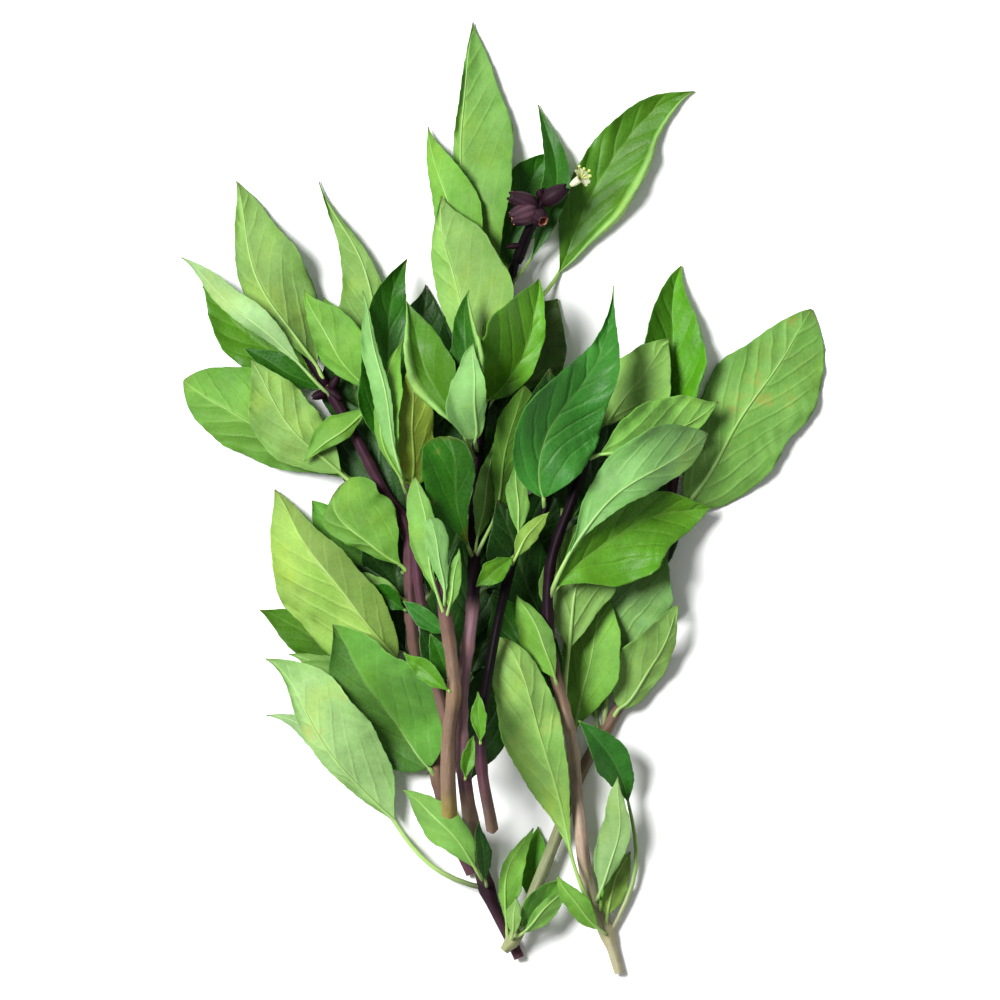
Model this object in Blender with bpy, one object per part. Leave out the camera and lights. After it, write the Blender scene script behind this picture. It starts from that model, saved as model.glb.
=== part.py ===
"""A bunch of basil that lies on a table: leafy stems heaped loosely over each other, one of them in flower.

The tips point along +Y, the cut ends along -Y, and the table is z = 0. Lengths are in millimetres and
angles in degrees until mesh_object() turns them into metres. Every stem is laid on the heap of what is
already there, and so is every leaf, so no two pieces cross.
"""

import math

import bmesh
import bpy
import numpy as np

MM = 0.001
MIDDLE = (0.1, 0.35)  # the middle of the bunch on the table, in the layout's own coordinates
BLADE = 0.7  # thickness of a leaf blade
GAP = 0.4  # least height left between things that lie on each other
CELL = 0.5  # side of a cell of the height map
HALF_X = 95.0
HALF_Y = 135.0
LEAF_REACH = 5.0  # how wide a limp leaf bridges over what it lies on
STEM_REACH = 10.0  # and a stiff stem
SPRING = 2.0  # how far a leaf may stand clear of what is below it
HIDDEN_SPRING = 3.0  # and one under its own stem
FOLD = 12  # the slope of a leaf's halves
RISE = 3  # how steeply a leaf leaves its stem
DROOP = 0.0022  # how fast it bends down along its length
WAVE = 0.5  # how far a leaf's edge waves up and down
RIB_SHARE = 0.22  # how far the thick rib runs up the blade
PETIOLE = 0.85  # radius of a leaf stalk
STEM_SIDES = 8
PETIOLE_SIDES = 4
STEM_STEP = 9.0  # length of one straight stretch of a stem
BUD_SIZE = (4.5, 1.3)  # length and radius of a dry bud
CUP_SIDES = 6
CUP_TILT = 12  # how steeply buds and calyces point up
AXIS_CLEAR = 2.4  # how wide the flower spike bridges over what it lies on
AXIS_LIFT = 1.3  # and how far it stands clear of it
FLOWER_LIFT = 2.2  # the open flower's height over the axis
FLOWER_REACH = 18.0  # the length of axis below the open flower

# How a leaf's outline swells from its stalk and runs out to its tip.
FORMS = {
    "oval": (0.62, 1.0),
    "lance": (1.0, 1.25),
    "wedge": (1.5, 1.4),
    "spoon": (1.2, 0.45),
    "tailed": (0.7, 1.7),
}


# ---- layout: each leaf is given from where it leaves its stem to its tip ----


def leaf(at, heading, length, width, stalk=4, bow=0, hook=0, form="lance", fold=FOLD, pale=True):
    """A leaf that leaves its stem "at" mm from the cut end and points along heading.

    length runs from the stem to the tip with the stalk. bow bends it sideways, hook bends its last third, and
    fold is the slope of its halves. A pale leaf shows its underside.
    """
    return dict(
        at=at,
        heading=heading,
        length=length,
        width=width,
        stalk=stalk,
        bow=bow,
        hook=hook,
        form=form,
        fold=fold,
        pale=pale,
    )


HIDDEN = dict(fold=4, pale=False)

SPRIGS = [
    dict(
        name="left_stem",
        route=[(-7, -97), (-14, -81), (-19, -57), (-23, -31), (-24, -8), (-30, 2), (-40, 21), (-51, 39)],
        radius=(1.9, 1.2),
        buds=[(133, 60), (133, 200), (134, -40), (134, 120)],
        below=[
            leaf(132, 140, 44, 16, 5, bow=2, pale=False),
            leaf(132, 152, 26, 7, 3, pale=False),
            leaf(80, 143, 32, 16, 3, bow=3, form="oval", pale=False),
            leaf(50, 154, 47, 15, 5, pale=False),
            leaf(47, 161, 37, 7, 5),
            leaf(63, 106, 38, 16, 5, **HIDDEN),
            leaf(92, 62, 38, 17, 5, **HIDDEN),
            leaf(112, 100, 34, 18, 5, **HIDDEN),
        ],
        above=[
            leaf(132, 115, 60, 17, 8, bow=2),
            leaf(130, 138, 54, 8, 13, bow=1),
            leaf(93, 147, 69, 22, 17, bow=-2.5, form="wedge", pale=False),
            leaf(96, 134, 56, 17, 18, bow=5),
            leaf(80, 131, 29, 19, 3, form="spoon", pale=False),
            leaf(73, 157, 19, 6, 2),
            leaf(70, 148, 15, 6, 2, pale=False),
            leaf(47, 164, 35, 9, 5),
            leaf(54, 128, 61, 22, 6, bow=6.5, form="oval"),
            leaf(26, 124, 49, 25, 4, form="oval", pale=False),
        ],
    ),
    dict(
        name="inner_stem",
        route=[(-10, -70), (-16, -49), (-21, -23), (-23, -1), (-27, 14), (-32, 26)],
        radius=(1.5, 1.1),
        below=[
            leaf(42, 68, 40, 17, 5, **HIDDEN),
            leaf(60, 75, 48, 20, 5, **HIDDEN),
            leaf(78, 84, 50, 20, 5, **HIDDEN),
            leaf(97, 117, 32, 12, 4),
        ],
        above=[
            leaf(98, 105, 60, 12, 5, bow=-3.5),
            leaf(98, 123, 35, 12, 4),
            leaf(97, 216, 24, 7, 3, bow=-2),
            leaf(70, 91, 64, 15, 16, bow=6, form="oval", pale=False),
            leaf(72, 90, 35, 12, 3, bow=-1, form="oval"),
            leaf(72, 92, 41, 8, 5, bow=5),
            leaf(75, 103, 52, 6, 5, bow=2),
        ],
    ),
    dict(
        name="flowering_stem",
        route=[(5, -119), (-4, -99), (-9, -73), (-10, -52), (-7, -26), (-6, 10), (-2, 37), (4, 62)],
        radius=(2.1, 1.2),
        below=[
            leaf(72, 64, 36, 15, 5, **HIDDEN),
            leaf(66, 100, 36, 14, 5, **HIDDEN),
            leaf(95, 48, 42, 20, 5, **HIDDEN),
            leaf(120, 60, 45, 20, 5, **HIDDEN),
            leaf(140, 95, 40, 18, 5, **HIDDEN),
            leaf(144, 57, 36, 23, 5, pale=False),
            leaf(168, 50, 79, 16, 20, bow=-10, hook=13, pale=False),
            leaf(178, 99, 29, 8, 3, pale=False),
            leaf(178, 72, 37, 16, 5, bow=4, pale=False),
            leaf(178, 82, 48, 8, 8, bow=-8, pale=False),
        ],
        above=[
            leaf(20, 142, 73, 8, 30, bow=9.5, hook=-11),
            leaf(20, 134, 83, 17, 29, bow=14, hook=-13),
            leaf(21, 131, 33, 10, 5, bow=-2),
            leaf(20, 96, 18, 4, 2, **HIDDEN),
            leaf(168, 95, 79, 15, 14, bow=0),
            leaf(155, 104, 66, 12, 16, bow=-2),
            leaf(148, 102, 54, 19, 5, bow=-3),
            leaf(145, 67, 37, 16, 3, form="oval", pale=False),
            leaf(134, 93, 42, 9, 4, bow=2, pale=False),
            leaf(132, 114, 45, 12, 8, bow=1, pale=False),
            leaf(134, 92, 28, 10, 3, bow=2, form="oval"),
            leaf(106, 81, 31, 6, 5),
            leaf(106, 74, 47, 12, 10, bow=-2),
            leaf(106, 102, 32, 14, 4, bow=2, form="oval", pale=False),
            leaf(49, 79, 12, 4, 1, pale=False),
        ],
    ),
    dict(
        name="back_stem",
        route=[(1, -117), (5, -111), (14, -89), (22, -69), (34, -47), (42, -16), (45, 5), (46, 16)],
        radius=(2.0, 1.2),
        below=[
            leaf(60, 96, 38, 12, 5),
            leaf(95, 92, 46, 18, 8, **HIDDEN),
        ],
        above=[
            leaf(120, 55, 68, 33, 6, bow=-1, form="oval"),
            leaf(133, 88, 54, 17, 8, bow=2, form="oval", pale=False),
            leaf(62, 79, 60, 25, 18, bow=2, form="oval"),
            leaf(65, 60, 36, 12, 5, form="oval"),
            leaf(4, 50, 24, 7, 3),
            leaf(6, 40, 17, 8, 2, pale=False),
            leaf(2, 82, 34, 7, 8, bow=4),
            leaf(4, 71, 25, 7, 3, pale=False),
            leaf(3, 89, 17, 5, 3),
        ],
    ),
    dict(
        name="right_stem",
        route=[(31, -123), (25, -105), (21, -83), (17, -58), (13, -35), (13, -17), (19, 1), (24, 16)],
        radius=(2.3, 1.2),
        below=[
            leaf(140, 54, 36, 18, 5),
            leaf(120, 95, 40, 20, 5, **HIDDEN),
            leaf(70, 122, 36, 16, 4, pale=False),
            leaf(70, 77, 57, 19, 16, bow=4),
        ],
        above=[
            leaf(137, 24, 38, 15, 4),
            leaf(100, 29, 49, 21, 4, bow=4, pale=False),
            leaf(98, 47, 61, 17, 13, bow=8, form="wedge"),
            leaf(76, 114, 27, 9, 3),
            leaf(11, 74, 22, 8, 4, bow=2),
            leaf(16, 91, 38, 7, 3, bow=1),
            leaf(10, 98, 57, 9, 34, bow=-11, pale=False),
            leaf(10, 129, 21, 6, 3, bow=1),
            leaf(11, 110, 82, 19, 20, bow=1, hook=2),
            leaf(19, 84, 34, 13, 3, bow=2),
        ],
    ),
    dict(
        name="stub_stem",
        route=[(-2, -85), (-5, -64), (-2, -39), (4, -14), (11, -4), (14, 8)],
        radius=(1.6, 1.1),
        below=[],
        above=[
            leaf(22, 93, 14, 4, 1),
            leaf(72, -141, 13, 6, 1, pale=False),
            leaf(75, 94, 21, 6, 3),
            leaf(69, 55, 17, 5, 2, bow=1),
            leaf(86, 73, 61, 24, 3, bow=9, hook=-9, form="tailed", pale=False),
        ],
    ),
    dict(
        name="front_stem",
        route=[(-12, -82), (-14, -68), (-13, -50), (-11, -38), (-14, -26), (-16, -20)],
        radius=(2.0, 1.5),
        below=[
            leaf(46, 142, 15, 5, 1, pale=False),
            leaf(33, 114, 15, 6, 1, pale=False),
        ],
        above=[
            leaf(31, 140, 17, 6, 2),
            leaf(50, 103, 39, 8, 5, bow=2),
            leaf(50, 80, 19, 5, 3),
            leaf(53, 101, 22, 7, 3),
        ],
    ),
]


# The flower spike: its axis, its calyces as (mm along the axis, heading, length, radius), and the flower.
SPIKE_ROUTE = [(4, 62.6), (7, 71), (10, 78), (11.5, 81.5)]
SPIKE_RADIUS = (1.3, 0.9)
CALYCES = [
    (16, 166, 7.5, 2.4),
    (16.5, 200, 7.5, 2.7),
    (17, 26, 8, 2.3),
    (15, -72, 5.5, 2.0),
    (19, 85, 3.5, 1.3),
]
FLOWER_AT = (21.0, 83.8)
FLOWER_HEADING = 35
PETALS = 5
STAMENS = 4
# Each kind of small part of the open flower: length, radius, tilt, and the turn from one to the next.
PETAL_SIZE = (4.2, 0.9, 16, 50)
STAMEN_SIZE = (6.5, 0.45, 34, 24)


# ---- the heap: a map of how high the pieces laid so far reach ----


class Heap:
    def __init__(self):
        self.top = np.full((int(2 * HALF_X / CELL), int(2 * HALF_Y / CELL)), -GAP)

    def cells(self, points):
        i = np.clip(((points[..., 0] + HALF_X) / CELL).astype(int), 0, self.top.shape[0] - 1)
        j = np.clip(((points[..., 1] + HALF_Y) / CELL).astype(int), 0, self.top.shape[1] - 1)
        return i, j

    def add(self, points, half):
        """Raises the map to surface points whose material reaches half above them."""
        i, j = self.cells(points)
        np.maximum.at(self.top, (i, j), points[..., 2] + half)

    def widened(self, reach):
        """The map with every height spread out to reach."""
        steps = max(1, round(reach / CELL))
        wide = self.top
        for axis in (0, 1):
            pads = [(steps, steps) if a == axis else (0, 0) for a in (0, 1)]
            padded = np.pad(wide, pads, mode="edge")
            size = wide.shape[axis]
            parts = [padded.take(range(k, k + size), axis) for k in range(2 * steps + 1)]
            wide = np.maximum.reduce(parts)
        return wide

    def softened(self, reach):
        """A smooth surface that lies nowhere below the map."""
        soft = self.widened(reach)
        steps = max(1, round(reach / CELL / 2))
        for _ in range(2):
            for axis in (0, 1):
                soft = rolling_mean(soft, steps, axis)
        return soft


def rolling_mean(values, steps, axis):
    """The mean over steps to each side along an axis."""
    pads = [(steps + 1, steps) if a == axis else (0, 0) for a in range(values.ndim)]
    total = np.cumsum(np.pad(values, pads, mode="edge"), axis)
    size = values.shape[axis]
    high = total.take(range(2 * steps + 1, 2 * steps + 1 + size), axis)
    low = total.take(range(0, size), axis)
    return (high - low) / (2 * steps + 1)


# ---- curves ----


def smooth_curve(points, count):
    """count points along a Catmull-Rom curve through the given ones, evenly spaced."""
    p = np.array(points, float)
    p = np.vstack([2 * p[0] - p[1], p, 2 * p[-1] - p[-2]])
    fine = []
    for a, b, c, d in zip(p, p[1:], p[2:], p[3:]):
        t = np.linspace(0, 1, 24, endpoint=False)[:, None]
        fine.append(0.5 * (2 * b + (c - a) * t + (2 * a - 5 * b + 4 * c - d) * t**2
                           + (3 * b - a - 3 * c + d) * t**3))
    fine = np.vstack(fine + [p[-2:-1]])
    run = lengths_along(fine)
    return at_length(fine, run, np.linspace(0, run[-1], count))


def lengths_along(points):
    steps = np.linalg.norm(np.diff(points, axis=0), axis=1)
    return np.concatenate([[0], np.cumsum(steps)])


def at_length(points, run, where):
    """The points of a line at the given lengths along it."""
    return np.stack([np.interp(where, run, points[:, k]) for k in range(points.shape[1])], -1)


def headings(line):
    """Unit vectors along a line of points."""
    d = np.gradient(line, axis=0)
    return d / np.linalg.norm(d, axis=1, keepdims=True)


# ---- solids ----


def tube(line, radii, sides, flat=1.0):
    """Points and faces of a tube round a line, closed by flat ends, with a flat side down."""
    along = headings(line)
    level = headings(line[:, :2])
    side = np.stack([-level[:, 1], level[:, 0], 0 * level[:, 0]], 1)
    up = np.cross(along, side)
    turn = (np.arange(sides) + 0.5) / sides * 2 * math.pi
    reach = np.asarray(radii, float).reshape(-1, 1, 1) / math.cos(math.pi / sides)
    ring = np.sin(turn)[:, None] * side[:, None] - flat * np.cos(turn)[:, None] * up[:, None]
    points = (line[:, None] + reach * ring).reshape(-1, 3)
    faces = []
    for r in range(len(line) - 1):
        for k in range(sides):
            a = r * sides + k
            b = r * sides + (k + 1) % sides
            faces.append((a, b, b + sides, a + sides))
    last = (len(line) - 1) * sides
    faces.append(tuple(range(sides - 1, -1, -1)))
    faces.append(tuple(range(last, last + sides)))
    return points, faces


def half_width(u, form):
    """A blade's half width at u from its base (0) to its tip (1), 1 at its widest."""
    swell, run_out = FORMS[form]
    widest = swell / (swell + run_out)
    return (u / widest) ** swell * ((1 - u) / (1 - widest)) ** run_out


def leaf_plan(row, root):
    """The midrib seen from above, as a function of 0..1 from the stem to the tip."""
    angle = math.radians(row["heading"])
    ahead = np.array([math.cos(angle), math.sin(angle)])
    left = np.array([-ahead[1], ahead[0]])

    def place(t):
        t = np.asarray(t, float)[..., None]
        aside = row["bow"] * 4 * t * (1 - t) + row["hook"] * 6.75 * t**2 * (1 - t)
        return root + ahead * row["length"] * t + left * aside

    return place


def blade_rows(row):
    """How many rows of points a blade gets between its base and its tip."""
    if row["fold"] < FOLD:
        return 2
    return 5 if row["length"] > 50 else 4 if row["length"] > 34 else 3 if row["length"] > 22 else 2


def lay_leaf(heap, row, root, order, spring):
    """Lays one leaf on the heap. Gives its blade's points, and the line of its stalk and rib."""
    place = leaf_plan(row, root[:2])
    start = row["stalk"] / row["length"]
    rows = blade_rows(row)
    u = np.concatenate([[0], (np.arange(rows) + 0.6) / (rows + 0.35), [1]])
    t = start + (1 - start) * u
    grid = blade_grid(row, place(t), u, order)
    away = (t * row["length"])[:, None]
    arch = root[2] + away * math.tan(math.radians(RISE)) - away**2 * DROOP
    lowest = heap.softened(LEAF_REACH)[heap.cells(grid)] + GAP + BLADE / 2
    grid[:, :, 2] += np.maximum(lowest, np.minimum(arch, lowest + spring))
    points = np.vstack([grid[0, 1:2], grid[1:-1].reshape(-1, 3), grid[-1, 1:2]])
    triangles = blade_triangles(rows)
    clear_blade(heap, points, triangles)
    rib_t = np.linspace(0, start + RIB_SHARE * (1 - start), 5)
    line = np.column_stack([place(rib_t), np.zeros(5)])
    floor = heap.widened(1.0)[heap.cells(line)] + GAP + PETIOLE
    share = np.clip(rib_t / start, 0, 1)
    line[-1, 2] = height_on(points, triangles, line[-1, :2], points[0, 2]) + 0.15
    heap.add(samples(points, triangles), BLADE * 0.6)
    return dict(points=points, triangles=triangles, rows=rows, line=line, share=share, floor=floor)


def blade_grid(row, mid, u, order):
    """A blade's left edge, midrib and right edge by rows, with the rise of its fold and its waved edge."""
    ahead = headings(mid)
    left = np.stack([-ahead[:, 1], ahead[:, 0]], 1)
    half = row["width"] / 2 * half_width(u, row["form"])
    slope = math.tan(math.radians(row["fold"]))
    wave = WAVE * np.where((np.arange(len(u)) + order) % 2, 1, -1) * half / half.max()
    grid = np.zeros((len(u), 3, 3))
    for k, side in enumerate((1, 0, -1)):
        high = 1 - abs(side) if row["pale"] else abs(side)
        grid[:, k, :2] = mid + left * (side * half)[:, None]
        grid[:, k, 2] = high * half * slope + abs(side) * wave
    return grid


def stalk_of(laid, root):
    """The stalk of a laid leaf, from its root inside the stem to its end along the rib."""
    line = laid["line"].copy()
    line[:, 2] = root[2] * (1 - laid["share"]) + laid["points"][0, 2] * laid["share"]
    lifted = np.maximum(line[:, 2], laid["floor"])
    line[1:, 2] = np.where(laid["share"][1:] < 1, lifted[1:], line[1:, 2])
    line[-1, 2] = laid["line"][-1, 2]
    return line


def blade_triangles(rows):
    """Triangles of a blade's face: a fan at each end and quads cut alike between them."""
    top = 1 + 3 * rows
    faces = [(0, 2, 1), (0, 3, 2)]
    for r in range(rows - 1):
        a = 1 + 3 * r
        for k in (0, 1):
            near, far = a + k, a + 3 + k
            if k:
                faces += [(near, near + 1, far), (near + 1, far + 1, far)]
            else:
                faces += [(near, near + 1, far + 1), (near, far + 1, far)]
    last = top - 3
    faces += [(last, last + 1, top), (last + 1, last + 2, top)]
    return np.array(faces)


def samples(points, triangles):
    """Points all over some triangles, closer together than the height map's cells."""
    corners = points[triangles]
    edges = corners - corners[:, [1, 2, 0]]
    longest = np.linalg.norm(edges, axis=2).max()
    steps = int(longest / CELL * 1.4) + 2
    i, j = np.meshgrid(np.arange(steps + 1), np.arange(steps + 1))
    inside = i + j <= steps
    a = (i[inside] / steps)[None, :, None]
    b = (j[inside] / steps)[None, :, None]
    return corners[:, 0:1] * (1 - a - b) + corners[:, 1:2] * a + corners[:, 2:3] * b


def line_samples(line):
    run = lengths_along(line)
    return at_length(line, run, np.linspace(0, run[-1], int(run[-1] / CELL * 2) + 2))


def clear_blade(heap, points, triangles):
    """Lifts the corners of every triangle that comes too near to what lies below it."""
    near = heap.widened(1.0)
    for _ in range(3):
        dots = samples(points, triangles)
        short = near[heap.cells(dots)] + GAP + BLADE / 2 - dots[..., 2]
        worst = np.maximum(short.max(axis=1), 0)
        rise = np.zeros(len(points))
        np.maximum.at(rise, triangles, worst[:, None])
        points[:, 2] += rise


def height_on(points, triangles, spot, otherwise):
    """The height of a faceted surface at a spot."""
    for a, b, c in points[triangles]:
        m = np.array([b[:2] - a[:2], c[:2] - a[:2]]).T
        if abs(np.linalg.det(m)) < 1e-9:
            continue
        s, t = np.linalg.solve(m, spot - a[:2])
        if s >= -0.01 and t >= -0.01 and s + t <= 1.01:
            return a[2] + s * (b[2] - a[2]) + t * (c[2] - a[2])
    return otherwise


def thickened(points, triangles, rows):
    """A closed blade: its face moved half its thickness to each side and joined round the edge."""
    a, b, c = points[triangles].transpose(1, 0, 2)
    flat = np.cross(b - a, c - a)
    normals = np.zeros_like(points)
    for k in range(3):
        np.add.at(normals, triangles[:, k], flat)
    normals /= np.linalg.norm(normals, axis=1, keepdims=True)
    count = len(points)
    both = np.vstack([points + normals * BLADE / 2, points - normals * BLADE / 2])
    faces = [tuple(f) for f in triangles] + [tuple(f[::-1] + count) for f in triangles]
    right = [3 + 3 * r for r in range(rows)]
    left = [1 + 3 * r for r in range(rows)]
    rim = [0] + right + [count - 1] + left[::-1]
    for p, q in zip(rim, rim[1:] + rim[:1]):
        faces.append((p, p + count, q + count))
        faces.append((p, q + count, q))
    return both, faces


def lay_stem(heap, sprig, clear=2.6):
    """The centre line of a stem laid on the heap, its radii, and the same line with more points."""
    length = lengths_along(smooth_curve(sprig["route"], 60))[-1]
    count = int(length / STEM_STEP) + 2
    fine = smooth_curve(sprig["route"], 6 * count)
    radii = np.linspace(*sprig["radius"], len(fine))
    near = heap.widened(clear)
    need = near[heap.cells(fine)] + GAP
    steps = int(STEM_REACH / (length / len(fine)))
    padded = np.pad(need, 2 * steps, mode="edge")
    wide = np.max([padded[k:k + len(padded) - 2 * steps] for k in range(2 * steps + 1)], axis=0)
    soft = rolling_mean(wide, steps // 2, 0)[steps:-steps]
    line = np.column_stack([fine, soft + radii])
    run = lengths_along(fine)
    where = np.linspace(0, run[-1], count)
    return at_length(line, run, where), np.interp(where, run, radii), line


def cup(root, heading, length, radius, tilt=CUP_TILT):
    """A bud or a calyx: a narrow foot that swells and ends in a blunt mouth."""
    angle = math.radians(heading)
    rise = math.radians(tilt)
    ahead = np.array([math.cos(angle) * math.cos(rise), math.sin(angle) * math.cos(rise), math.sin(rise)])
    line = root + ahead * length * np.array([0.05, 0.3, 0.65, 1.0])[:, None]
    return tube(line, radius * np.array([0.4, 0.85, 1.0, 0.8]), CUP_SIDES)


# ---- objects ----


def mesh_object(name, points, faces, material):
    mesh = bpy.data.meshes.new(name)
    placed = (np.asarray(points) - [*MIDDLE, 0]) * MM
    mesh.from_pydata([tuple(p) for p in placed], [], [tuple(map(int, f)) for f in faces])
    mesh.materials.append(material)
    body = bpy.data.objects.new(name, mesh)
    bpy.context.scene.collection.objects.link(body)
    work = bmesh.new()
    work.from_mesh(mesh)
    bmesh.ops.recalc_face_normals(work, faces=work.faces)
    work.to_mesh(mesh)
    work.free()
    return body


def fuse(body, others):
    """Joins the others into body with one union, and removes them."""
    group = bpy.data.collections.new(body.name + "_parts")
    for other in others:
        group.objects.link(other)
    union = body.modifiers.new("union", "BOOLEAN")
    union.operation = "UNION"
    union.operand_type = "COLLECTION"
    union.solver = "EXACT"
    union.collection = group
    done = bpy.data.meshes.new_from_object(body.evaluated_get(bpy.context.evaluated_depsgraph_get()))
    body.modifiers.clear()
    body.data = done
    keep_one_body(done)
    for other in others:
        bpy.data.objects.remove(other)
    bpy.data.collections.remove(group)


def islands(work):
    """The sets of faces that hang together."""
    left = set(work.faces)
    found = []
    while left:
        start = left.pop()
        island = {start}
        edge = [start]
        while edge:
            face = edge.pop()
            for line in face.edges:
                for other in line.link_faces:
                    if other not in island:
                        island.add(other)
                        left.discard(other)
                        edge.append(other)
        found.append(island)
    return found


def keep_one_body(mesh):
    """Fills what the union sealed and drops loose scraps: only the largest island of faces stays."""
    work = bmesh.new()
    work.from_mesh(mesh)
    bmesh.ops.triangulate(work, faces=work.faces)
    found = sorted(islands(work), key=len)
    small = [face for island in found[:-1] for face in island]
    bmesh.ops.delete(work, geom=small, context="FACES")
    loose = [v for v in work.verts if not v.link_faces]
    bmesh.ops.delete(work, geom=loose, context="VERTS")
    work.to_mesh(mesh)
    work.free()


def paint(name, colour, roughness):
    material = bpy.data.materials.new(name)
    material.use_nodes = True
    shader = material.node_tree.nodes["Principled BSDF"]
    shader.inputs["Base Color"].default_value = (*colour, 1)
    shader.inputs["Roughness"].default_value = roughness
    shader.inputs["Metallic"].default_value = 0
    material.diffuse_color = (*colour, 1)
    return material


def build_sprig(heap, sprig, material):
    """One leafy stem: the leaves that it lies on, then the stem, then the leaves on top. Gives its tip."""
    name = sprig["name"]
    guide, _, _ = lay_stem(heap, sprig)
    laid = []
    for order, row in enumerate(sprig["below"]):
        laid.append(lay_leaf(heap, row, root_of(guide, row), order, HIDDEN_SPRING))
    line, radii, fine = lay_stem(heap, sprig)
    body = mesh_object(name, *tube(line, radii, STEM_SIDES), material)
    add_stem(heap, fine, radii.mean())
    stalks = [stalk_of(leaf_laid, root_of(line, row)) for leaf_laid, row in zip(laid, sprig["below"])]
    for order, row in enumerate(sprig["above"]):
        root = root_of(line, row)
        laid.append(lay_leaf(heap, row, root, order, SPRING))
        stalks.append(stalk_of(laid[-1], root))
        heap.add(line_samples(stalks[-1][1:]), PETIOLE)
    others = []
    for k, (stalk, one) in enumerate(zip(stalks, laid)):
        tapered = np.linspace(1.15, 0.7, len(stalk)) * PETIOLE
        others.append(mesh_object(f"{name}_stalk_{k}", *tube(stalk, tapered, PETIOLE_SIDES), material))
        blade = thickened(one["points"], one["triangles"], one["rows"])
        others.append(mesh_object(f"{name}_blade_{k}", *blade, material))
    for k, (at, heading) in enumerate(sprig.get("buds", [])):
        root = root_of(line, dict(at=at))
        others.append(mesh_object(f"{name}_bud_{k}", *cup(root, heading, *BUD_SIZE), material))
        heap.add(line_samples(np.array([root, root + [0, 0, 0.5]])), 2)
    fuse(body, others)
    return line[-1]


def root_of(line, row):
    """The point of a stem's centre line that a leaf grows from."""
    return at_length(line, lengths_along(line[:, :2]), np.array([row["at"]]))[0]


def add_stem(heap, fine, radius):
    """Adds a stem to the heap, its middle and both its flanks."""
    along = headings(fine[:, :2])
    for side in (-0.8, 0, 0.8):
        flank = fine.copy()
        flank[:, 0] -= side * radius * along[:, 1]
        flank[:, 1] += side * radius * along[:, 0]
        heap.add(line_samples(flank), radius)


def build_flower_spike(heap, stem_end):
    """The axis above the top pair of leaves with its calyces, and the open flower beside it."""
    purple = paint("flower_spike", (0.09, 0.03, 0.08), 0.5)
    line, radii, _ = lay_stem(heap, dict(route=SPIKE_ROUTE, radius=SPIKE_RADIUS), AXIS_CLEAR)
    line[:, 2] += AXIS_LIFT
    line[0, 2] = max(line[0, 2] - 1.0, stem_end[2])
    run = lengths_along(line[:, :2])
    axis = mesh_object("flower_spike", *tube(line, radii, STEM_SIDES), purple)
    calyces = []
    for k, (at, heading, length, radius) in enumerate(CALYCES):
        root = at_length(line, run, np.array([at]))[0]
        calyces.append(mesh_object(f"calyx_{k}", *cup(root, heading, length, radius), purple))
    fuse(axis, calyces)
    top = at_length(line, run, np.array([FLOWER_REACH]))[0]
    build_open_flower(np.array([*FLOWER_AT, top[2] + FLOWER_LIFT]))


def build_open_flower(centre):
    """A short tube with small cups round its mouth for the petals, and longer ones for the stamens."""
    white = paint("open_flower", (0.75, 0.76, 0.52), 0.5)
    angle = math.radians(FLOWER_HEADING)
    ahead = np.array([math.cos(angle), math.sin(angle), 0.25])
    line = centre + ahead * np.array([-2.2, 0, 1.2])[:, None]
    body = mesh_object("open_flower", *tube(line, [0.9, 1.3, 0.7], CUP_SIDES), white)
    parts = []
    kinds = (("petal", PETALS, PETAL_SIZE), ("stamen", STAMENS, STAMEN_SIZE))
    for kind, count, (length, radius, tilt, step) in kinds:
        for k in range(count):
            turn = FLOWER_HEADING + (k - (count - 1) / 2) * step
            piece = cup(centre, turn, length, radius, tilt + 6 * (-1) ** k)
            parts.append(mesh_object(f"{kind}_{k}", *piece, white))
    fuse(body, parts)


def main():
    for old in list(bpy.data.objects):
        bpy.data.objects.remove(old)
    heap = Heap()
    ends = {}
    for sprig in SPRIGS:
        material = paint(sprig["name"], (0.13, 0.33, 0.06), 0.45)
        ends[sprig["name"]] = build_sprig(heap, sprig, material)
        if sprig["name"] == "flowering_stem":
            build_flower_spike(heap, ends["flowering_stem"])


main()
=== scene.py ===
"""The looks of a bunch of basil that lies on a pale table: veined leaves, square stems and a flower spike.

The layout follows the solid model's: each stem and each leaf is laid on the heap of what is already there.
Lengths are in millimetres and angles in degrees until Shape.made() turns them into metres.
"""

import math

import bpy
import numpy as np
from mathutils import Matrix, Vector

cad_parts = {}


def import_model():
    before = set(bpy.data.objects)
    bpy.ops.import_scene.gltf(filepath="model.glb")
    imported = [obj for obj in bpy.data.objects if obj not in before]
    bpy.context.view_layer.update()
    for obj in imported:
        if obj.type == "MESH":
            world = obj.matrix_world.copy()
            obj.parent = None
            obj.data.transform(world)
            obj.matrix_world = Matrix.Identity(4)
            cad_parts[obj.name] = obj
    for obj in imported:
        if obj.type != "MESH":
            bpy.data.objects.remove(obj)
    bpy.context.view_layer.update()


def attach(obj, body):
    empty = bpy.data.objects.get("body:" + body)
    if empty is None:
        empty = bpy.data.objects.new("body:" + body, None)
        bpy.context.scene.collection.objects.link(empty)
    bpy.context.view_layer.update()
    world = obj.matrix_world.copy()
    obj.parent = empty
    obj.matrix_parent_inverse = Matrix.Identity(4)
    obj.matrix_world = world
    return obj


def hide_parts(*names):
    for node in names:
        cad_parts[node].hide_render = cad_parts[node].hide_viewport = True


MM = 0.001
TURN = 2 * math.pi
MIDDLE = (0.1, 0.35)  # the middle of the bunch on the table, in the layout's own coordinates
BLADE = 0.32  # thickness of a leaf blade
GAP = 0.24  # least height left between things that lie on each other
CELL = 0.5  # side of a cell of the height map
HALF_X = 95.0  # half the width of the height map
HALF_Y = 135.0  # and half its length
LEAF_REACH = 1.5  # how wide a limp leaf bridges over what it lies on
STEM_REACH = 10.0  # and a stiff stem
STEM_CLEAR = 2.6  # how far to its sides a stem must clear what it lies on
FLANK = 0.8  # where a stem's flanks are, as a share of its radius
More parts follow.
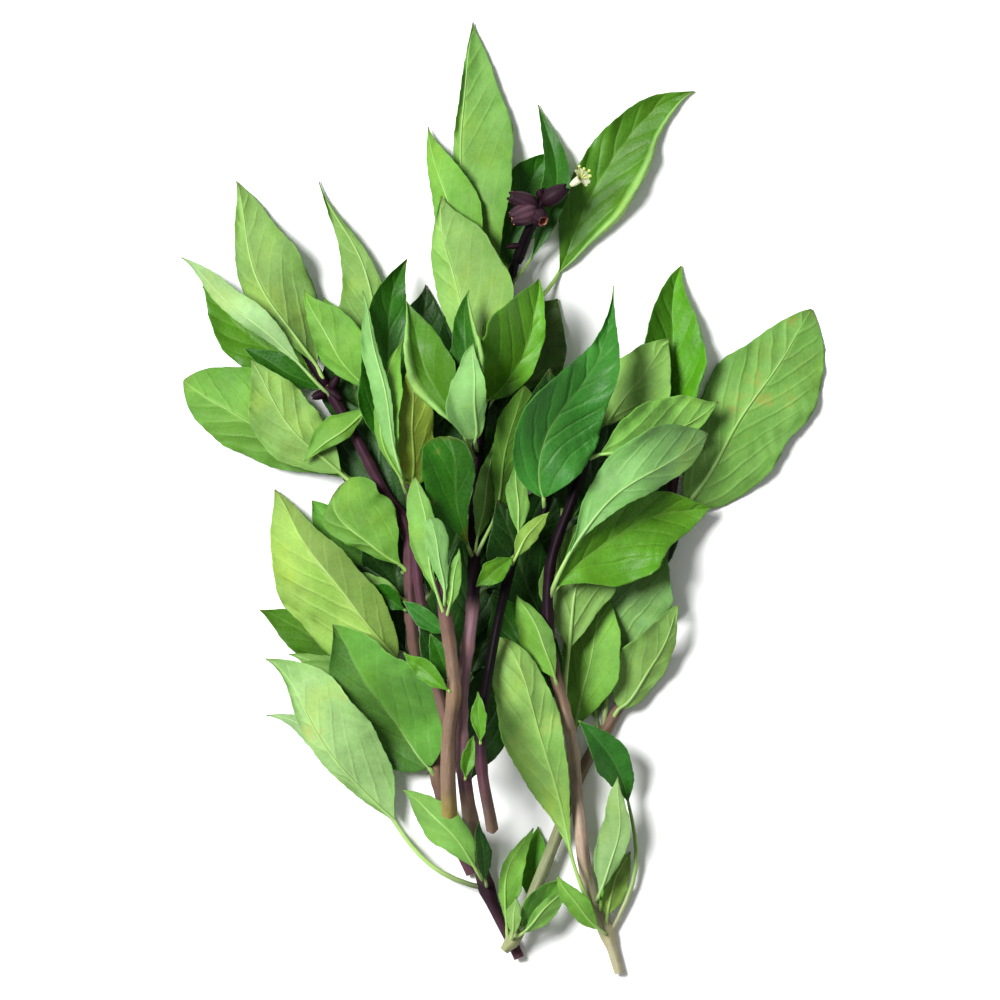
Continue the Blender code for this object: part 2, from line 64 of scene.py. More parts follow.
SPRING = 0.7  # how far a leaf may stand clear of what is below it
HIDDEN_SPRING = 0.3  # and one under its own stem
LEVELLING = 4.0  # the length over which a leaf evens out what it lies on
MOST_LEAN = 0.6  # the steepest slope across a leaf
MOST_FALL = 0.5  # and along it
LIFT = 3  # how steeply a leaf leaves its stem
DROOP = 0.0022  # how fast it bends down along its length

ROW_STEP = 1.15  # length of a blade between two rows of points
HALF_COLUMNS = np.array([0, 0.05, 0.13, 0.24, 0.36, 0.49, 0.62, 0.75, 0.87, 0.95, 1.0])
COLUMNS = np.concatenate([-HALF_COLUMNS[:0:-1], HALF_COLUMNS])
VEIN_STEP = 8.0  # from one side vein to the next along the midrib
SWAY = 0.013  # how far a leaf's midrib swings sideways, as a share of its length
BEAK = 0.02  # and how far its tip hooks
PLEAT = 0.7  # depth of the broad pleats across a blade
QUILT = 0.3  # how far the blade swells between its veins
WAVE = 0.9  # how far an edge waves up and down
TOOTH = 0.22  # how far a tooth of the edge stands out
TOOTH_STEP = 4.6  # from one tooth to the next
PETIOLE = 0.75  # radius of a leaf stalk
RIB = 0.46  # radius of a midrib where the blade begins
STEM_SIDES = 20
STALK_SIDES = 8
CALYX_SIDES = 20
CALYX_RIBS = 10
CALYX_LOBES = 5
FOOT = 21.0  # a stem whose lowest leaves grow nearer than this to its cut end is slimmer below them
FOOT_GIRTHS = [0.66, 0.76, 1.0]  # its girth at the cut end, below those leaves and above them
NODE_SWELLING = 0.16  # how much thicker a stem is where leaves grow from it
PITH = 0.55  # share of a stem's radius that is pith
STEM_STEP = 1.5  # length of a stem between two rings of points
FIRST_SEED = 40  # start of the random draws that set each stem's leaves apart

# The stage, in metres.
FLOOR_REACH = 2.5  # from its middle to each side
SKY_STRENGTH = 0.32
LAMP_AT = (-0.75, 0.35, 1.25)
LAMP_SIZE = 0.6
LAMP_WATTS = 42
CAMERA_HEIGHT = 3.0
SEEN = 0.26  # how much of the table the camera sees from side to side


# ---- colours ----


def paint(red, green, blue):
    """A colour given by its values from 0 to 255 on a screen, as light."""
    shares = np.array([red, green, blue]) / 255
    return np.where(shares <= 0.04045, shares / 12.92, ((shares + 0.055) / 1.055) ** 2.4)


# How a leaf looks from above: the blade's colour, and whether its underside is the face that shows.
LOOKS = {
    "milky": (paint(134, 172, 104), True),
    "pale": (paint(114, 153, 74), True),
    "lime": (paint(131, 166, 72), True),
    "silver": (paint(113, 161, 89), True),
    "mint": (paint(140, 177, 116), True),
    "soft": (paint(106, 154, 67), True),
    "fresh": (paint(100, 152, 52), True),
    "old": (paint(132, 158, 54), True),
    "bright": (paint(78, 134, 24), False),
    "mid": (paint(82, 154, 12), False),
    "deep": (paint(32, 90, 4), False),
    # dark is painted shade: the colour of the hidden leaves that fill the deep gaps of the heap.
    "dark": (paint(20, 62, 8), False),
    "blue": (paint(92, 150, 56), False),
    # shaded is painted shade: a darker green for leaves that lie in shadow.
    "shaded": (paint(44, 107, 32), False),
    "olive": (paint(60, 92, 28), False),
}
OTHER_FACE = {True: paint(74, 134, 34), False: paint(136, 180, 96)}
STALK_GREEN = paint(164, 196, 106)
PURPLE = paint(74, 46, 58)
BLACK_PURPLE = paint(30, 14, 26)
BLACK = paint(10, 4, 8)
MAUVE = paint(136, 104, 112)
BROWN = paint(112, 92, 76)
BEIGE = paint(150, 146, 118)
TAN = paint(162, 142, 124)
TORN = paint(128, 116, 56)
GREY_GREEN = paint(126, 132, 98)
CALYX = paint(26, 8, 18)
FADED = paint(92, 64, 76)
CALYX_INSIDE = paint(190, 130, 104)
PETAL = paint(232, 234, 200)
STAMEN = paint(206, 218, 120)
THROAT = paint(120, 84, 50)


# How a leaf's outline swells from its stalk and runs out to its tip.
FORMS = {
    "oval": (0.62, 1.0),
    "lance": (1.15, 1.25),
    "wedge": (1.5, 1.4),
    "spoon": (1.2, 0.45),
    "paddle": (1.6, 0.85),
    "round": (0.75, 0.8),
    "tailed": (0.75, 1.9),
}


# ---- layout: each leaf is given from where it leaves its stem to its tip ----


LEAF = dict(
    bow=0,
    hook=0,
    form="lance",
    fold=12,
    rib=0.0,
    # sides: colour shares of the two halves, partly own tone and partly painted light and shade
    sides=(1.0, 1.0),
    twist=0,
    roll=0.0,
    worn=0.0,
)


def leaf(at, heading, length, width, stalk, look="pale", **more):
    """A leaf that leaves its stem "at" mm from the cut end and points along heading.

    length runs from the stem to the tip, with the stalk. bow bends it sideways and hook its last third. fold
    is the slope of its halves. rib moves the midrib aside (1 is onto the left edge). sides are the shares of
    the colour on its left and right halves: partly the leaf's own tone, partly painted light and shade where
    one half faces the lamp or lies in a shadow. twist turns it about its midrib. roll turns over a share of
    its left edge, or of its right edge where it is negative. worn browns it.
    """
    given = dict(at=at, heading=heading, length=length, width=width, stalk=stalk, look=look)
    return {**LEAF, **given, **more}


def hidden(at, heading, length, width, stalk=5):
    """A flat leaf under the others, dark as painted shade in the deep gaps of the heap."""
    return leaf(at, heading, length, width, stalk, "dark", fold=3)


# The sides of a row scale the colour of its blade's halves: partly the leaf's own tone, partly painted light
# and shade.
SPRIGS = [
    dict(
        name="left_stem",
        route=[(-7, -97), (-14, -81), (-19, -57), (-23, -31), (-24, -8), (-30, 2), (-40, 21), (-51, 39)],
        radius=(1.9, 1.2),
        colours=[(0, PURPLE), (40, BROWN), (90, PURPLE), (140, BLACK_PURPLE)],
        buds=[(133, 60), (133, 200), (134, -40), (134, 120)],
        below=[
            leaf(132, 140, 44, 16, 5, "bright", bow=2, sides=(0.85, 0.75), twist=-10),
            leaf(132, 152, 26, 7, 3, "deep"),
            leaf(80, 143, 32, 16, 3, "blue", bow=3, form="oval"),
            leaf(50, 154, 47, 15, 5, "bright", fold=18, sides=(0.6, 0.7)),
            leaf(47, 161, 37, 7, 5),
            hidden(63, 106, 38, 16),
            hidden(56, 128, 36, 16),
            hidden(92, 62, 38, 17),
            hidden(112, 100, 34, 18),
            hidden(85, 97, 40, 16),
            hidden(86, 114, 44, 16),
            hidden(30, 82, 42, 18),
        ],
        above=[
            leaf(132, 114, 61, 17, 8, bow=1, fold=20, rib=0.45, sides=(1.1, 0.88), twist=26),
            leaf(130, 137, 55, 7, 11, "mint", bow=-1, form="wedge", fold=24, rib=0.3, sides=(0.8, 0.84)),
            leaf(93, 147, 69, 22, 17, "fresh", bow=-2.5, form="paddle", fold=16, rib=0.2,
                 sides=(0.82, 0.9)),
            leaf(96, 134, 56, 17, 18, bow=5, sides=(0.92, 1.0), twist=6),
            leaf(80, 131, 29, 18, 3, "fresh", form="spoon", fold=14, rib=0.5, sides=(0.85, 0.9)),
            leaf(73, 157, 19, 6, 2),
            leaf(70, 148, 15, 6, 2, "deep"),
            leaf(47, 164, 35, 9, 5, fold=26, rib=0.4),
            leaf(54, 128, 61, 22, 6, "lime", bow=6.5, form="oval", fold=14, rib=-0.3, sides=(1.0, 0.62)),
            leaf(26, 124, 49, 25, 4, "blue", form="oval", fold=22, rib=0.1, sides=(0.5, 0.88)),
        ],
    ),
    dict(
        name="inner_stem",
        route=[(-10, -70), (-16, -49), (-21, -23), (-23, -1), (-27, 14), (-32, 26)],
        radius=(1.5, 1.1),
        colours=[(0, BROWN), (60, PURPLE), (100, PURPLE)],
        below=[
            hidden(42, 68, 40, 17),
            hidden(60, 75, 48, 20),
            hidden(78, 84, 50, 20),
            leaf(97, 117, 32, 12, 4, "fresh"),
        ],
        above=[
            leaf(98, 105, 60, 13, 5, bow=-3.5, form="tailed", fold=22, rib=-0.4, twist=20),
            leaf(98, 123, 35, 12, 4, "fresh", fold=20, rib=0.3),
            leaf(97, 216, 24, 7, 3, "fresh", bow=-2, fold=25, rib=0.4),
            leaf(70, 91, 64, 15, 16, "deep", bow=6, form="oval", fold=22),
            leaf(72, 90, 35, 12, 3, "old", bow=-1, worn=0.5, form="oval"),
            leaf(72, 92, 41, 7, 5, "fresh", bow=5, fold=28, rib=0.5, sides=(0.8, 1.1)),
            leaf(75, 103, 52, 5, 5, "silver", bow=2, fold=28, rib=-0.5),
        ],
    ),
    dict(
        name="flowering_stem",
        route=[(5, -119), (-4, -99), (-9, -73), (-10, -52), (-7, -26), (-6, 10), (-2, 37), (4, 62)],
        radius=(2.1, 1.2),
        colours=[
            (0, PURPLE), (22, BLACK_PURPLE), (30, BROWN), (54, BROWN), (60, PURPLE),
            (70, MAUVE), (103, MAUVE), (108, BLACK_PURPLE), (190, BLACK),
        ],
        below=[
            hidden(72, 64, 36, 15),
            hidden(78, 84, 40, 16),
            hidden(44, 80, 38, 15),
            hidden(66, 100, 36, 14),
            hidden(95, 48, 42, 20),
            hidden(120, 60, 45, 20),
            hidden(140, 95, 40, 18),
            leaf(144, 57, 36, 23, 5, "olive"),
            leaf(168, 50, 79, 17, 20, "bright", bow=-10, hook=13, fold=13, rib=0.15,
                 sides=(0.76, 0.72), roll=-0.2),
            leaf(178, 99, 29, 8, 3, "mid"),
            leaf(178, 72, 37, 16, 5, "deep", bow=4),
            leaf(178, 81, 48, 7, 8, "deep", bow=-8, fold=25),
        ],
        above=[
            leaf(20, 142, 73, 8, 30, "mint", bow=9.5, hook=-11, fold=10),
            leaf(20, 134, 83, 17, 29, "milky", bow=14, hook=-13, fold=12, rib=0.6, twist=-8, worn=0.3),
            leaf(21, 131, 33, 10, 5, "soft", bow=-2, twist=10),
            hidden(20, 96, 18, 4, 2),
            leaf(168, 95, 79, 15, 14, "soft", fold=14, rib=0.75, sides=(0.95, 0.95), twist=8),
            leaf(155, 104, 66, 12, 16, "fresh", bow=-2, fold=22, rib=0.3),
            leaf(148, 102, 54, 20, 5, bow=-3, fold=18, rib=0.45, sides=(1.2, 0.92), twist=8),
            leaf(145, 67, 37, 16, 3, "bright", form="oval", fold=20, rib=-0.45, sides=(1.05, 1.15)),
            leaf(134, 93, 42, 9, 4, "deep", bow=2, fold=28, roll=-0.3),
            leaf(132, 114, 45, 12, 8, "bright", bow=1, fold=24, rib=0.2, sides=(0.7, 0.72), roll=0.5),
            leaf(134, 92, 28, 10, 3, "silver", bow=2, form="oval", fold=20, rib=-0.4, sides=(1.0, 1.15)),
            leaf(106, 81, 31, 6, 5, "soft", fold=26),
            leaf(106, 74, 47, 11, 10, "fresh", bow=-2, form="paddle", fold=22, rib=0.3, twist=18),
            leaf(106, 103, 33, 14, 4, "deep", bow=2, form="spoon", fold=18, rib=-0.3,
                 sides=(1.2, 0.8), worn=0.4),
            leaf(49, 79, 12, 4, 1, "bright"),
        ],
    ),
    dict(
        name="back_stem",
        route=[(1, -117), (5, -111), (14, -89), (22, -69), (34, -47), (42, -16), (45, 5), (46, 16)],
        radius=(1.7, 1.2),
        colours=[(0, GREY_GREEN), (30, GREY_GREEN), (60, BROWN), (100, PURPLE)],
        below=[
            leaf(60, 96, 38, 12, 5, "milky"),
            hidden(95, 92, 46, 18, 8),
            leaf(12, 82, 22, 8, 3, "mid"),
        ],
        above=[
            leaf(120, 56, 67, 27, 6, "soft", bow=-3.5, hook=1, form="round", fold=8, rib=0.1, worn=0.35),
            leaf(133, 88, 54, 17, 8, "mid", bow=2, form="oval", fold=24, sides=(0.5, 0.85)),
            leaf(62, 79, 60, 25, 18, "silver", bow=2, form="oval", fold=10, rib=0.25, sides=(0.9, 0.8)),
            leaf(65, 60, 36, 12, 5, form="oval", fold=20, rib=-0.4),
            leaf(6, 50, 18, 8, 2, "blue"),
            leaf(2, 78, 31, 6, 5, "fresh", bow=3, fold=22, rib=0.4),
            leaf(4, 45, 20, 5, 3, "soft", bow=-1, fold=20, rib=0.3),
            leaf(3, 84, 12, 4, 2),
        ],
    ),
    dict(
        name="right_stem",
        route=[
            (31, -123), (28, -113), (23, -100), (20.4, -82), (18.4, -62), (13, -38), (13, -17), (19, 1),
            (24, 16),
        ],
        radius=(1.9, 1.2),
        colours=[
            (0, BEIGE), (22, BEIGE), (34, TAN), (64, TAN), (80, BROWN), (88, PURPLE), (98, BLACK_PURPLE),
            (150, BLACK),
        ],
        below=[
            # sides brighten this leaf: painted light over the shadow that falls on it
            leaf(140, 54, 36, 18, 5, sides=(1.4, 1.35), twist=8),
            hidden(120, 95, 40, 20),
            hidden(88, 110, 40, 16),
            hidden(112, 62, 40, 18),
            leaf(60, 80, 44, 16, 5, "fresh", fold=3),
            leaf(70, 122, 36, 16, 4, "deep"),
            leaf(70, 77, 57, 19, 16, bow=4),
        ],
        above=[
            # sides brighten this leaf: painted light over the shadow that falls on it
            leaf(137, 24, 38, 15, 4, "soft", rib=-0.4, sides=(1.25, 1.25)),
            leaf(100, 29, 49, 21, 4, "bright", bow=4, fold=18, rib=0.2),
            leaf(98, 47, 61, 15, 13, "silver", bow=8, form="paddle", fold=20, rib=-0.35),
            leaf(76, 114, 27, 9, 3, "fresh", fold=22, rib=-0.3, sides=(1.0, 0.7)),
            leaf(11, 74, 22, 8, 4, "lime", bow=2),
            leaf(16, 83, 38, 5, 3, "mid"),
            leaf(10, 98, 57, 9, 34, "shaded", bow=-11, fold=20),
            leaf(10, 129, 21, 6, 3, "fresh", bow=1),
            leaf(11, 110, 82, 16, 20, bow=4, hook=-3, form="paddle", fold=14, rib=-0.25,
                 sides=(1.3, 1.2), twist=8, worn=0.15),
            leaf(19, 80, 34, 8, 3, "milky", bow=-1.5, fold=16, rib=-0.3, sides=(0.92, 0.86)),
        ],
    ),
    dict(
        name="stub_stem",
        route=[(-2, -85), (-5, -64), (-2, -39), (4, -14), (11, -4), (14, 8)],
        radius=(1.6, 0.9),
        colours=[(0, BROWN), (20, PURPLE), (32, BLACK), (100, BLACK)],
        below=[],
        above=[
            leaf(22, 93, 14, 4, 1, "bright"),
            leaf(72, -141, 13, 6, 1, "bright"),
            leaf(75, 94, 21, 6, 3, "soft"),
            leaf(69, 55, 17, 5, 2, "lime", bow=1),
            leaf(86, 73, 61, 21, 3, "shaded", bow=7.5, hook=-9, form="tailed", fold=12, rib=0.2,
                 sides=(1.3, 1.12), twist=-16),
        ],
    ),
    dict(
        name="front_stem",
        route=[(-13, -81), (-13.4, -70), (-13, -59), (-11.8, -50), (-12.4, -41), (-14, -30), (-15.5, -21)],
        radius=(2.1, 1.5),
        colours=[(0, TORN), (1, TORN), (9, BROWN), (40, BROWN), (60, PURPLE)],
        below=[
            leaf(46, 142, 15, 5, 1, "shaded"),
            leaf(33, 114, 15, 6, 1, "deep"),
        ],
        above=[
            leaf(31, 140, 17, 5, 2, "bright", fold=22),
            leaf(50, 102, 38, 7, 5, "soft", bow=1.5, form="paddle", fold=25, rib=-0.4),
            leaf(50, 80, 19, 4, 3, "soft"),
            leaf(53, 99, 24, 6, 3, "silver", bow=-1, form="spoon", fold=22),
        ],
    ),
]

# The flower spike. Each calyx is given by how far along the axis it grows, its heading, its length, its
# radius, its tilt and how far its face has faded.
SPIKE_ROUTE = [(4.2, 61.5), (7.6, 70), (10.6, 76.6), (12, 80.5)]
SPIKE_RADIUS = (1.6, 1.2)
SPIKE_REACH = 2.4  # how far to its sides the axis must clear what it lies on
SPIKE_RISE = 14.0  # the length over which the axis rises from its stem's tip to the height of its calyces
SPIKE_CLEAR = 1.3  # and how far it stands clear of the leaves there
CALYCES = [
    (15.5, 160, 8.2, 2.5, 14, 0.25),
    (15.0, 200, 8.0, 3.0, 22, 0.9),
    (16.5, 32, 7.6, 2.4, 12, 0.1),
    (13.5, -48, 5.6, 2.4, 62, 0.2),
    (17.5, 110, 3.0, 1.2, 20, 0.0),
    (5.0, 188, 4.2, 0.8, 5, 0.0),
]
FLOWER_AT = (20.6, 83.0)
FLOWER_HEADING = 35
FLOWER_TILT = 30
FLOWER_LIFT = 2.2  # how far its mouth is above the axis
THROAT_WIDTHS = [0.5, 0.7, 0.85, 0.95, 1.0, 1.05, 1.1]
THROAT_SIDES = 12
LOBES = 5  # of the upper lip
LOBE_TURN = 62  # from one of them to the next
LOBE_SIZE = (2.3, 2.1)
LIP_SIZE = (3.0, 2.6)  # the lower lip's
PETAL_BODY = 0.06  # half a petal's thickness
STAMENS = 4
STAMEN_TURN = 26

# A calyx's wall, up its outside and down its inside: how far along it, and the share of its radius there.
CALYX_OUTER = [
    (0.02, 0.4), (0.1, 0.62), (0.24, 0.88), (0.42, 1.0), (0.6, 1.0), (0.76, 0.9), (0.9, 0.72), (1.0, 0.6),
]
CALYX_INNER = [(0.99, 0.52), (0.86, 0.56), (0.7, 0.56), (0.55, 0.5), (0.5, 0.05)]


# ---- the heap: a map of how high the pieces laid so far reach ----


class Heap:
    """How high the pieces laid so far reach, cell by cell."""

    def __init__(self):
        self.top = np.full((int(2 * HALF_X / CELL), int(2 * HALF_Y / CELL)), -GAP)

    def cells(self, points):
        i = np.clip(((points[..., 0] + HALF_X) / CELL).astype(int), 0, self.top.shape[0] - 1)
        j = np.clip(((points[..., 1] + HALF_Y) / CELL).astype(int), 0, self.top.shape[1] - 1)
        return i, j

    def add(self, points, half):
        """Raises the map to surface points whose material reaches half above them."""
        np.maximum.at(self.top, self.cells(points), points[..., 2] + half)

    def widened(self, reach):
        """The map with every height spread out to reach."""
        steps = max(1, round(reach / CELL))
        wide = self.top
        for axis in (0, 1):
            wide = rolling_peak(wide, steps, axis)
        return wide

    def softened(self, reach):
        """A smooth surface that lies nowhere below the map."""
        soft = self.widened(reach)
        steps = max(1, round(reach / CELL / 2))
        for _ in range(2):
            for axis in (0, 1):
                soft = rolling_mean(soft, steps, axis)
        return soft

    def read(self, surface, points):
        """A surface's heights at some points, read between its cells."""
        x = np.clip((points[..., 0] + HALF_X) / CELL - 0.5, 0, surface.shape[0] - 1.001)
        y = np.clip((points[..., 1] + HALF_Y) / CELL - 0.5, 0, surface.shape[1] - 1.001)
        i, j = x.astype(int), y.astype(int)
        a, b = x - i, y - j
        near = surface[i, j] * (1 - b) + surface[i, j + 1] * b
        far = surface[i + 1, j] * (1 - b) + surface[i + 1, j + 1] * b
        return near * (1 - a) + far * a


def rolling_peak(values, steps, axis):
    """The greatest value over steps to each side along an axis."""
    pads = [(steps, steps) if a == axis else (0, 0) for a in range(values.ndim)]
    padded = np.pad(values, pads, mode="edge")
    size = values.shape[axis]
    return np.maximum.reduce([padded.take(range(k, k + size), axis) for k in range(2 * steps + 1)])


def rolling_mean(values, steps, axis):
    """The mean over steps to each side along an axis."""
    pads = [(steps + 1, steps) if a == axis else (0, 0) for a in range(values.ndim)]
    total = np.cumsum(np.pad(values, pads, mode="edge"), axis)
    size = values.shape[axis]
    high = total.take(range(2 * steps + 1, 2 * steps + 1 + size), axis)
    low = total.take(range(0, size), axis)
    return (high - low) / (2 * steps + 1)


# ---- curves ----


def smooth_curve(points, count):
    """count points along a Catmull-Rom curve through the given ones, evenly spaced."""
    p = np.array(points, float)
    p = np.vstack([2 * p[0] - p[1], p, 2 * p[-1] - p[-2]])
    fine = []
    for a, b, c, d in zip(p, p[1:], p[2:], p[3:]):
        t = np.linspace(0, 1, 24, endpoint=False)[:, None]
        square = (2 * a - 5 * b + 4 * c - d) * t**2
        cube = (3 * b - a - 3 * c + d) * t**3
        fine.append(0.5 * (2 * b + (c - a) * t + square + cube))
    fine = np.vstack(fine + [p[-2:-1]])
    run = lengths_along(fine)
    return at_length(fine, run, np.linspace(0, run[-1], count))


def lengths_along(points):
    """How far each point of a line is from its first one."""
    steps = np.linalg.norm(np.diff(points, axis=0), axis=1)
    return np.concatenate([[0], np.cumsum(steps)])


def at_length(points, run, where):
    """The points of a line at the given lengths along it."""
    return np.stack([np.interp(where, run, points[:, k]) for k in range(points.shape[1])], -1)


def line_samples(line):
    """Points along a line, closer together than the height map's cells."""
    run = lengths_along(line)
    return at_length(line, run, np.linspace(0, run[-1], int(run[-1] / CELL * 2) + 2))


def headings(line):
    """Unit vectors along a line of points."""
    d = np.gradient(line, axis=0)
    return d / np.linalg.norm(d, axis=1, keepdims=True)


def eased(share):
    """0..1 with a soft start and a soft end."""
    return share**2 * (3 - 2 * share)


def root_of(line, at):
    """The point of a stem's centre line at a length from its cut end, seen from above."""
    return at_length(line, lengths_along(line[:, :2]), np.array([at]))[0]


# ---- shapes ----


def added(name, data):
    """An object in the scene."""
    thing = bpy.data.objects.new(name, data)
    bpy.context.scene.collection.objects.link(thing)
    return thing


class Shape:
    """One piece in the making: points, faces, and the marks that its materials read at each point."""

    def __init__(self, name, materials):
        self.name = name
        self.materials = materials
        self.points = []
        self.faces = []
        self.slots = []
        self.smooth = []
        self.place = []
        self.nature = []
        self.tint = []
        self.count = 0

    def add(self, points, faces, tint, slot=0, place=(0, 0, 0), nature=(0, 0, 0), smooth=True):
        """Adds points and faces. tint, place and nature hold three numbers for each point."""
        size = len(points)
        self.points.append(points)
        self.faces += [tuple(int(v) + self.count for v in face) for face in faces]
        self.slots += [slot] * len(faces)
        self.smooth += [smooth] * len(faces)
        for marks, values in ((self.place, place), (self.nature, nature), (self.tint, tint)):
            marks.append(np.broadcast_to(np.asarray(values, float), (size, 3)))
        self.count += size

    def made(self, node):
        """Finishes the piece, which stands for a node of the solid model."""
        placed = np.vstack(self.points) - [*MIDDLE, 0]
        placed[:, 2] = np.maximum(placed[:, 2], 0)
        placed *= MM
        mesh = bpy.data.meshes.new(self.name)
        mesh.from_pydata(placed.tolist(), [], self.faces)
        for material in self.materials:
            mesh.materials.append(material)
        mesh.polygons.foreach_set("material_index", self.slots)
        mesh.polygons.foreach_set("use_smooth", self.smooth)
        for name, marks in (("place", self.place), ("nature", self.nature)):
            layer = mesh.attributes.new(name, "FLOAT_VECTOR", "POINT")
            layer.data.foreach_set("vector", np.vstack(marks).ravel())
        layer = mesh.attributes.new("tint", "FLOAT_COLOR", "POINT")
        tint = np.vstack(self.tint)
        layer.data.foreach_set("color", np.column_stack([tint, np.ones(len(tint))]).ravel())
        mesh.update()
        piece = added(self.name, mesh)
        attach(piece, "root")
        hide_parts(node)


def ring_faces(rings, sides):
    """Faces between the rings of a tube, open at both ends."""
    faces = []
    for r in range(rings - 1):
        for k in range(sides):
            a = r * sides + k
            b = r * sides + (k + 1) % sides
            faces.append((a, b, b + sides, a + sides))
    return faces


def grid_faces(index):
    """Faces of a grid of points, two to a cell."""
    near, far, across, beside = index[:-1, :-1], index[1:, :-1], index[1:, 1:], index[:-1, 1:]
    halves = [np.stack([near, far, across], -1), np.stack([near, across, beside], -1)]
    return np.stack(halves).reshape(-1, 3)


def tube(line, radii, sides, section=None):
    """Points of a tube round a line. section shapes its ring by the turn."""
    along = headings(line)
    level = headings(line[:, :2])
    side = np.stack([-level[:, 1], level[:, 0], 0 * level[:, 0]], 1)
    up = np.cross(along, side)
    turn = (np.arange(sides) + 0.5) / sides * TURN
    share = section(turn) if section else np.ones(sides)
    ring = np.sin(turn)[:, None] * side[:, None] - np.cos(turn)[:, None] * up[:, None]
    reach = np.asarray(radii, float).reshape(-1, 1, 1) * share[:, None]
    return (line[:, None] + reach * ring).reshape(-1, 3)


def square_section(turn):
    """A basil stem's cross-section: a square with round corners and a shallow groove down each face."""
    power = 3.2
    corner = turn + math.pi / 4
    square = (np.abs(np.cos(corner)) ** power + np.abs(np.sin(corner)) ** power) ** (-1 / power)
    groove = 0.06 * np.cos(2 * corner) ** 6
    return (square - groove) / square.max()


# ---- leaves ----


def half_width(u, form):
    """A blade's half width at u from its base (0) to its tip (1), 1 at its widest."""
    swell, run_out = FORMS[form]
    widest = swell / (swell + run_out)
    return (u / widest) ** swell * ((1 - u) / (1 - widest)) ** run_out


def leaf_plan(row, root):
    """The midrib's line seen from above, as a function of 0..1 from the stem to the tip."""
    angle = math.radians(row["heading"])
    ahead = np.array([math.cos(angle), math.sin(angle)])
    left = np.array([-ahead[1], ahead[0]])

    phase = (row["at"] * 0.37 + row["heading"] * 0.11) % 1
    sway = SWAY * row["length"]
    beak = BEAK * row["length"] * (2 * phase - 1)

    def place(t):
        t = np.asarray(t, float)[..., None]
        bow = row["bow"] * 4 * t * (1 - t)
        hook = row["hook"] * 6.75 * t**2 * (1 - t)
        swing = sway * np.sin(TURN * (1.4 * t + phase)) * np.sin(math.pi * t)
        tip = beak * 15 * t**6 * (1 - t)
        return root + ahead * row["length"] * t + left * (bow + hook + swing + tip)

    return place


def toothed(u, length, side, chance):
    """How far the edge stands out at u, with shallow teeth that point to the tip."""
    teeth = u * length / TOOTH_STEP + chance + 0.3 * side
    saw = teeth - np.floor(teeth)
    return TOOTH * (saw**1.5 - 0.4) * np.clip(4 * u * (1 - u) * 2, 0, 1)


def blade_plan(row, place, chance):
    """A blade seen from above: its points by rows and columns, how far each is aside, and its rows' u."""
    start = row["stalk"] / row["length"]
    u = np.linspace(0.003, 0.997, int(row["length"] * (1 - start) / ROW_STEP) + 10)
    mid = place(start + (1 - start) * u)
    ahead = headings(mid)
    left = np.stack([-ahead[:, 1], ahead[:, 0]], 1)
    half = row["width"] / 2 * half_width(u, row["form"])
    shift = row["rib"] * half
    aside = np.zeros((len(u), len(COLUMNS)))
    for k, v in enumerate(COLUMNS):
        side = np.sign(v)
        edge = half * (1 - side * row["rib"]) * uneven(u, chance + 0.37 * side)
        aside[:, k] = v * (edge + abs(v) ** 3 * toothed(u, row["length"], side, chance))
    across = (aside + shift[:, None])[..., None]
    return mid[:, None] + left[:, None] * across, aside, u


def hump(u, power=0.5):
    """Rises from 0 at a blade's base to 1 at its middle and falls to 0 at its tip, for each row."""
    return np.sin(math.pi * u)[:, None] ** power


def uneven(u, phase):
    """The swing of a leaf's width along one side."""
    slow = 0.06 * np.sin(TURN * (1.5 * u + 1.7 * phase))
    return 1 + slow + 0.035 * np.sin(TURN * (3.4 * u + 2.9 * phase))


def vein_count(u, aside, length):
    """Which side vein a point lies on: whole numbers are veins, which bend from the midrib to the tip."""
    out = np.abs(aside)
    half = out.max()
    run = u[:, None] * length - out * (1.3 + 5 / half) - out**2 * 0.7 / half
    return run / VEIN_STEP + np.where(aside > 0, 0.0, 0.4)


def leaning(lowest, aside, steps):
    """The slope across each row of a blade that follows what it lies on."""
    outer = np.abs(COLUMNS) > 0.4
    left = lowest[:, outer & (COLUMNS > 0)].mean(axis=1)
    right = lowest[:, outer & (COLUMNS < 0)].mean(axis=1)
    span = np.maximum(0.7 * (aside[:, -1] - aside[:, 0]), 1.5)
    slope = np.clip((left - right) / span, -MOST_LEAN, MOST_LEAN)
    return rolling_mean(rolling_mean(slope, 2 * steps, 0), steps, 0)


def bridged(line, step):
    """The lowest line over another one that falls no faster than a leaf's own stiffness lets it."""
    for way in (1, -1):
        line = line[::way].copy()
        for k in range(1, len(line)):
            line[k] = max(line[k], line[k - 1] - MOST_FALL * step)
        line = line[::way]
    return line


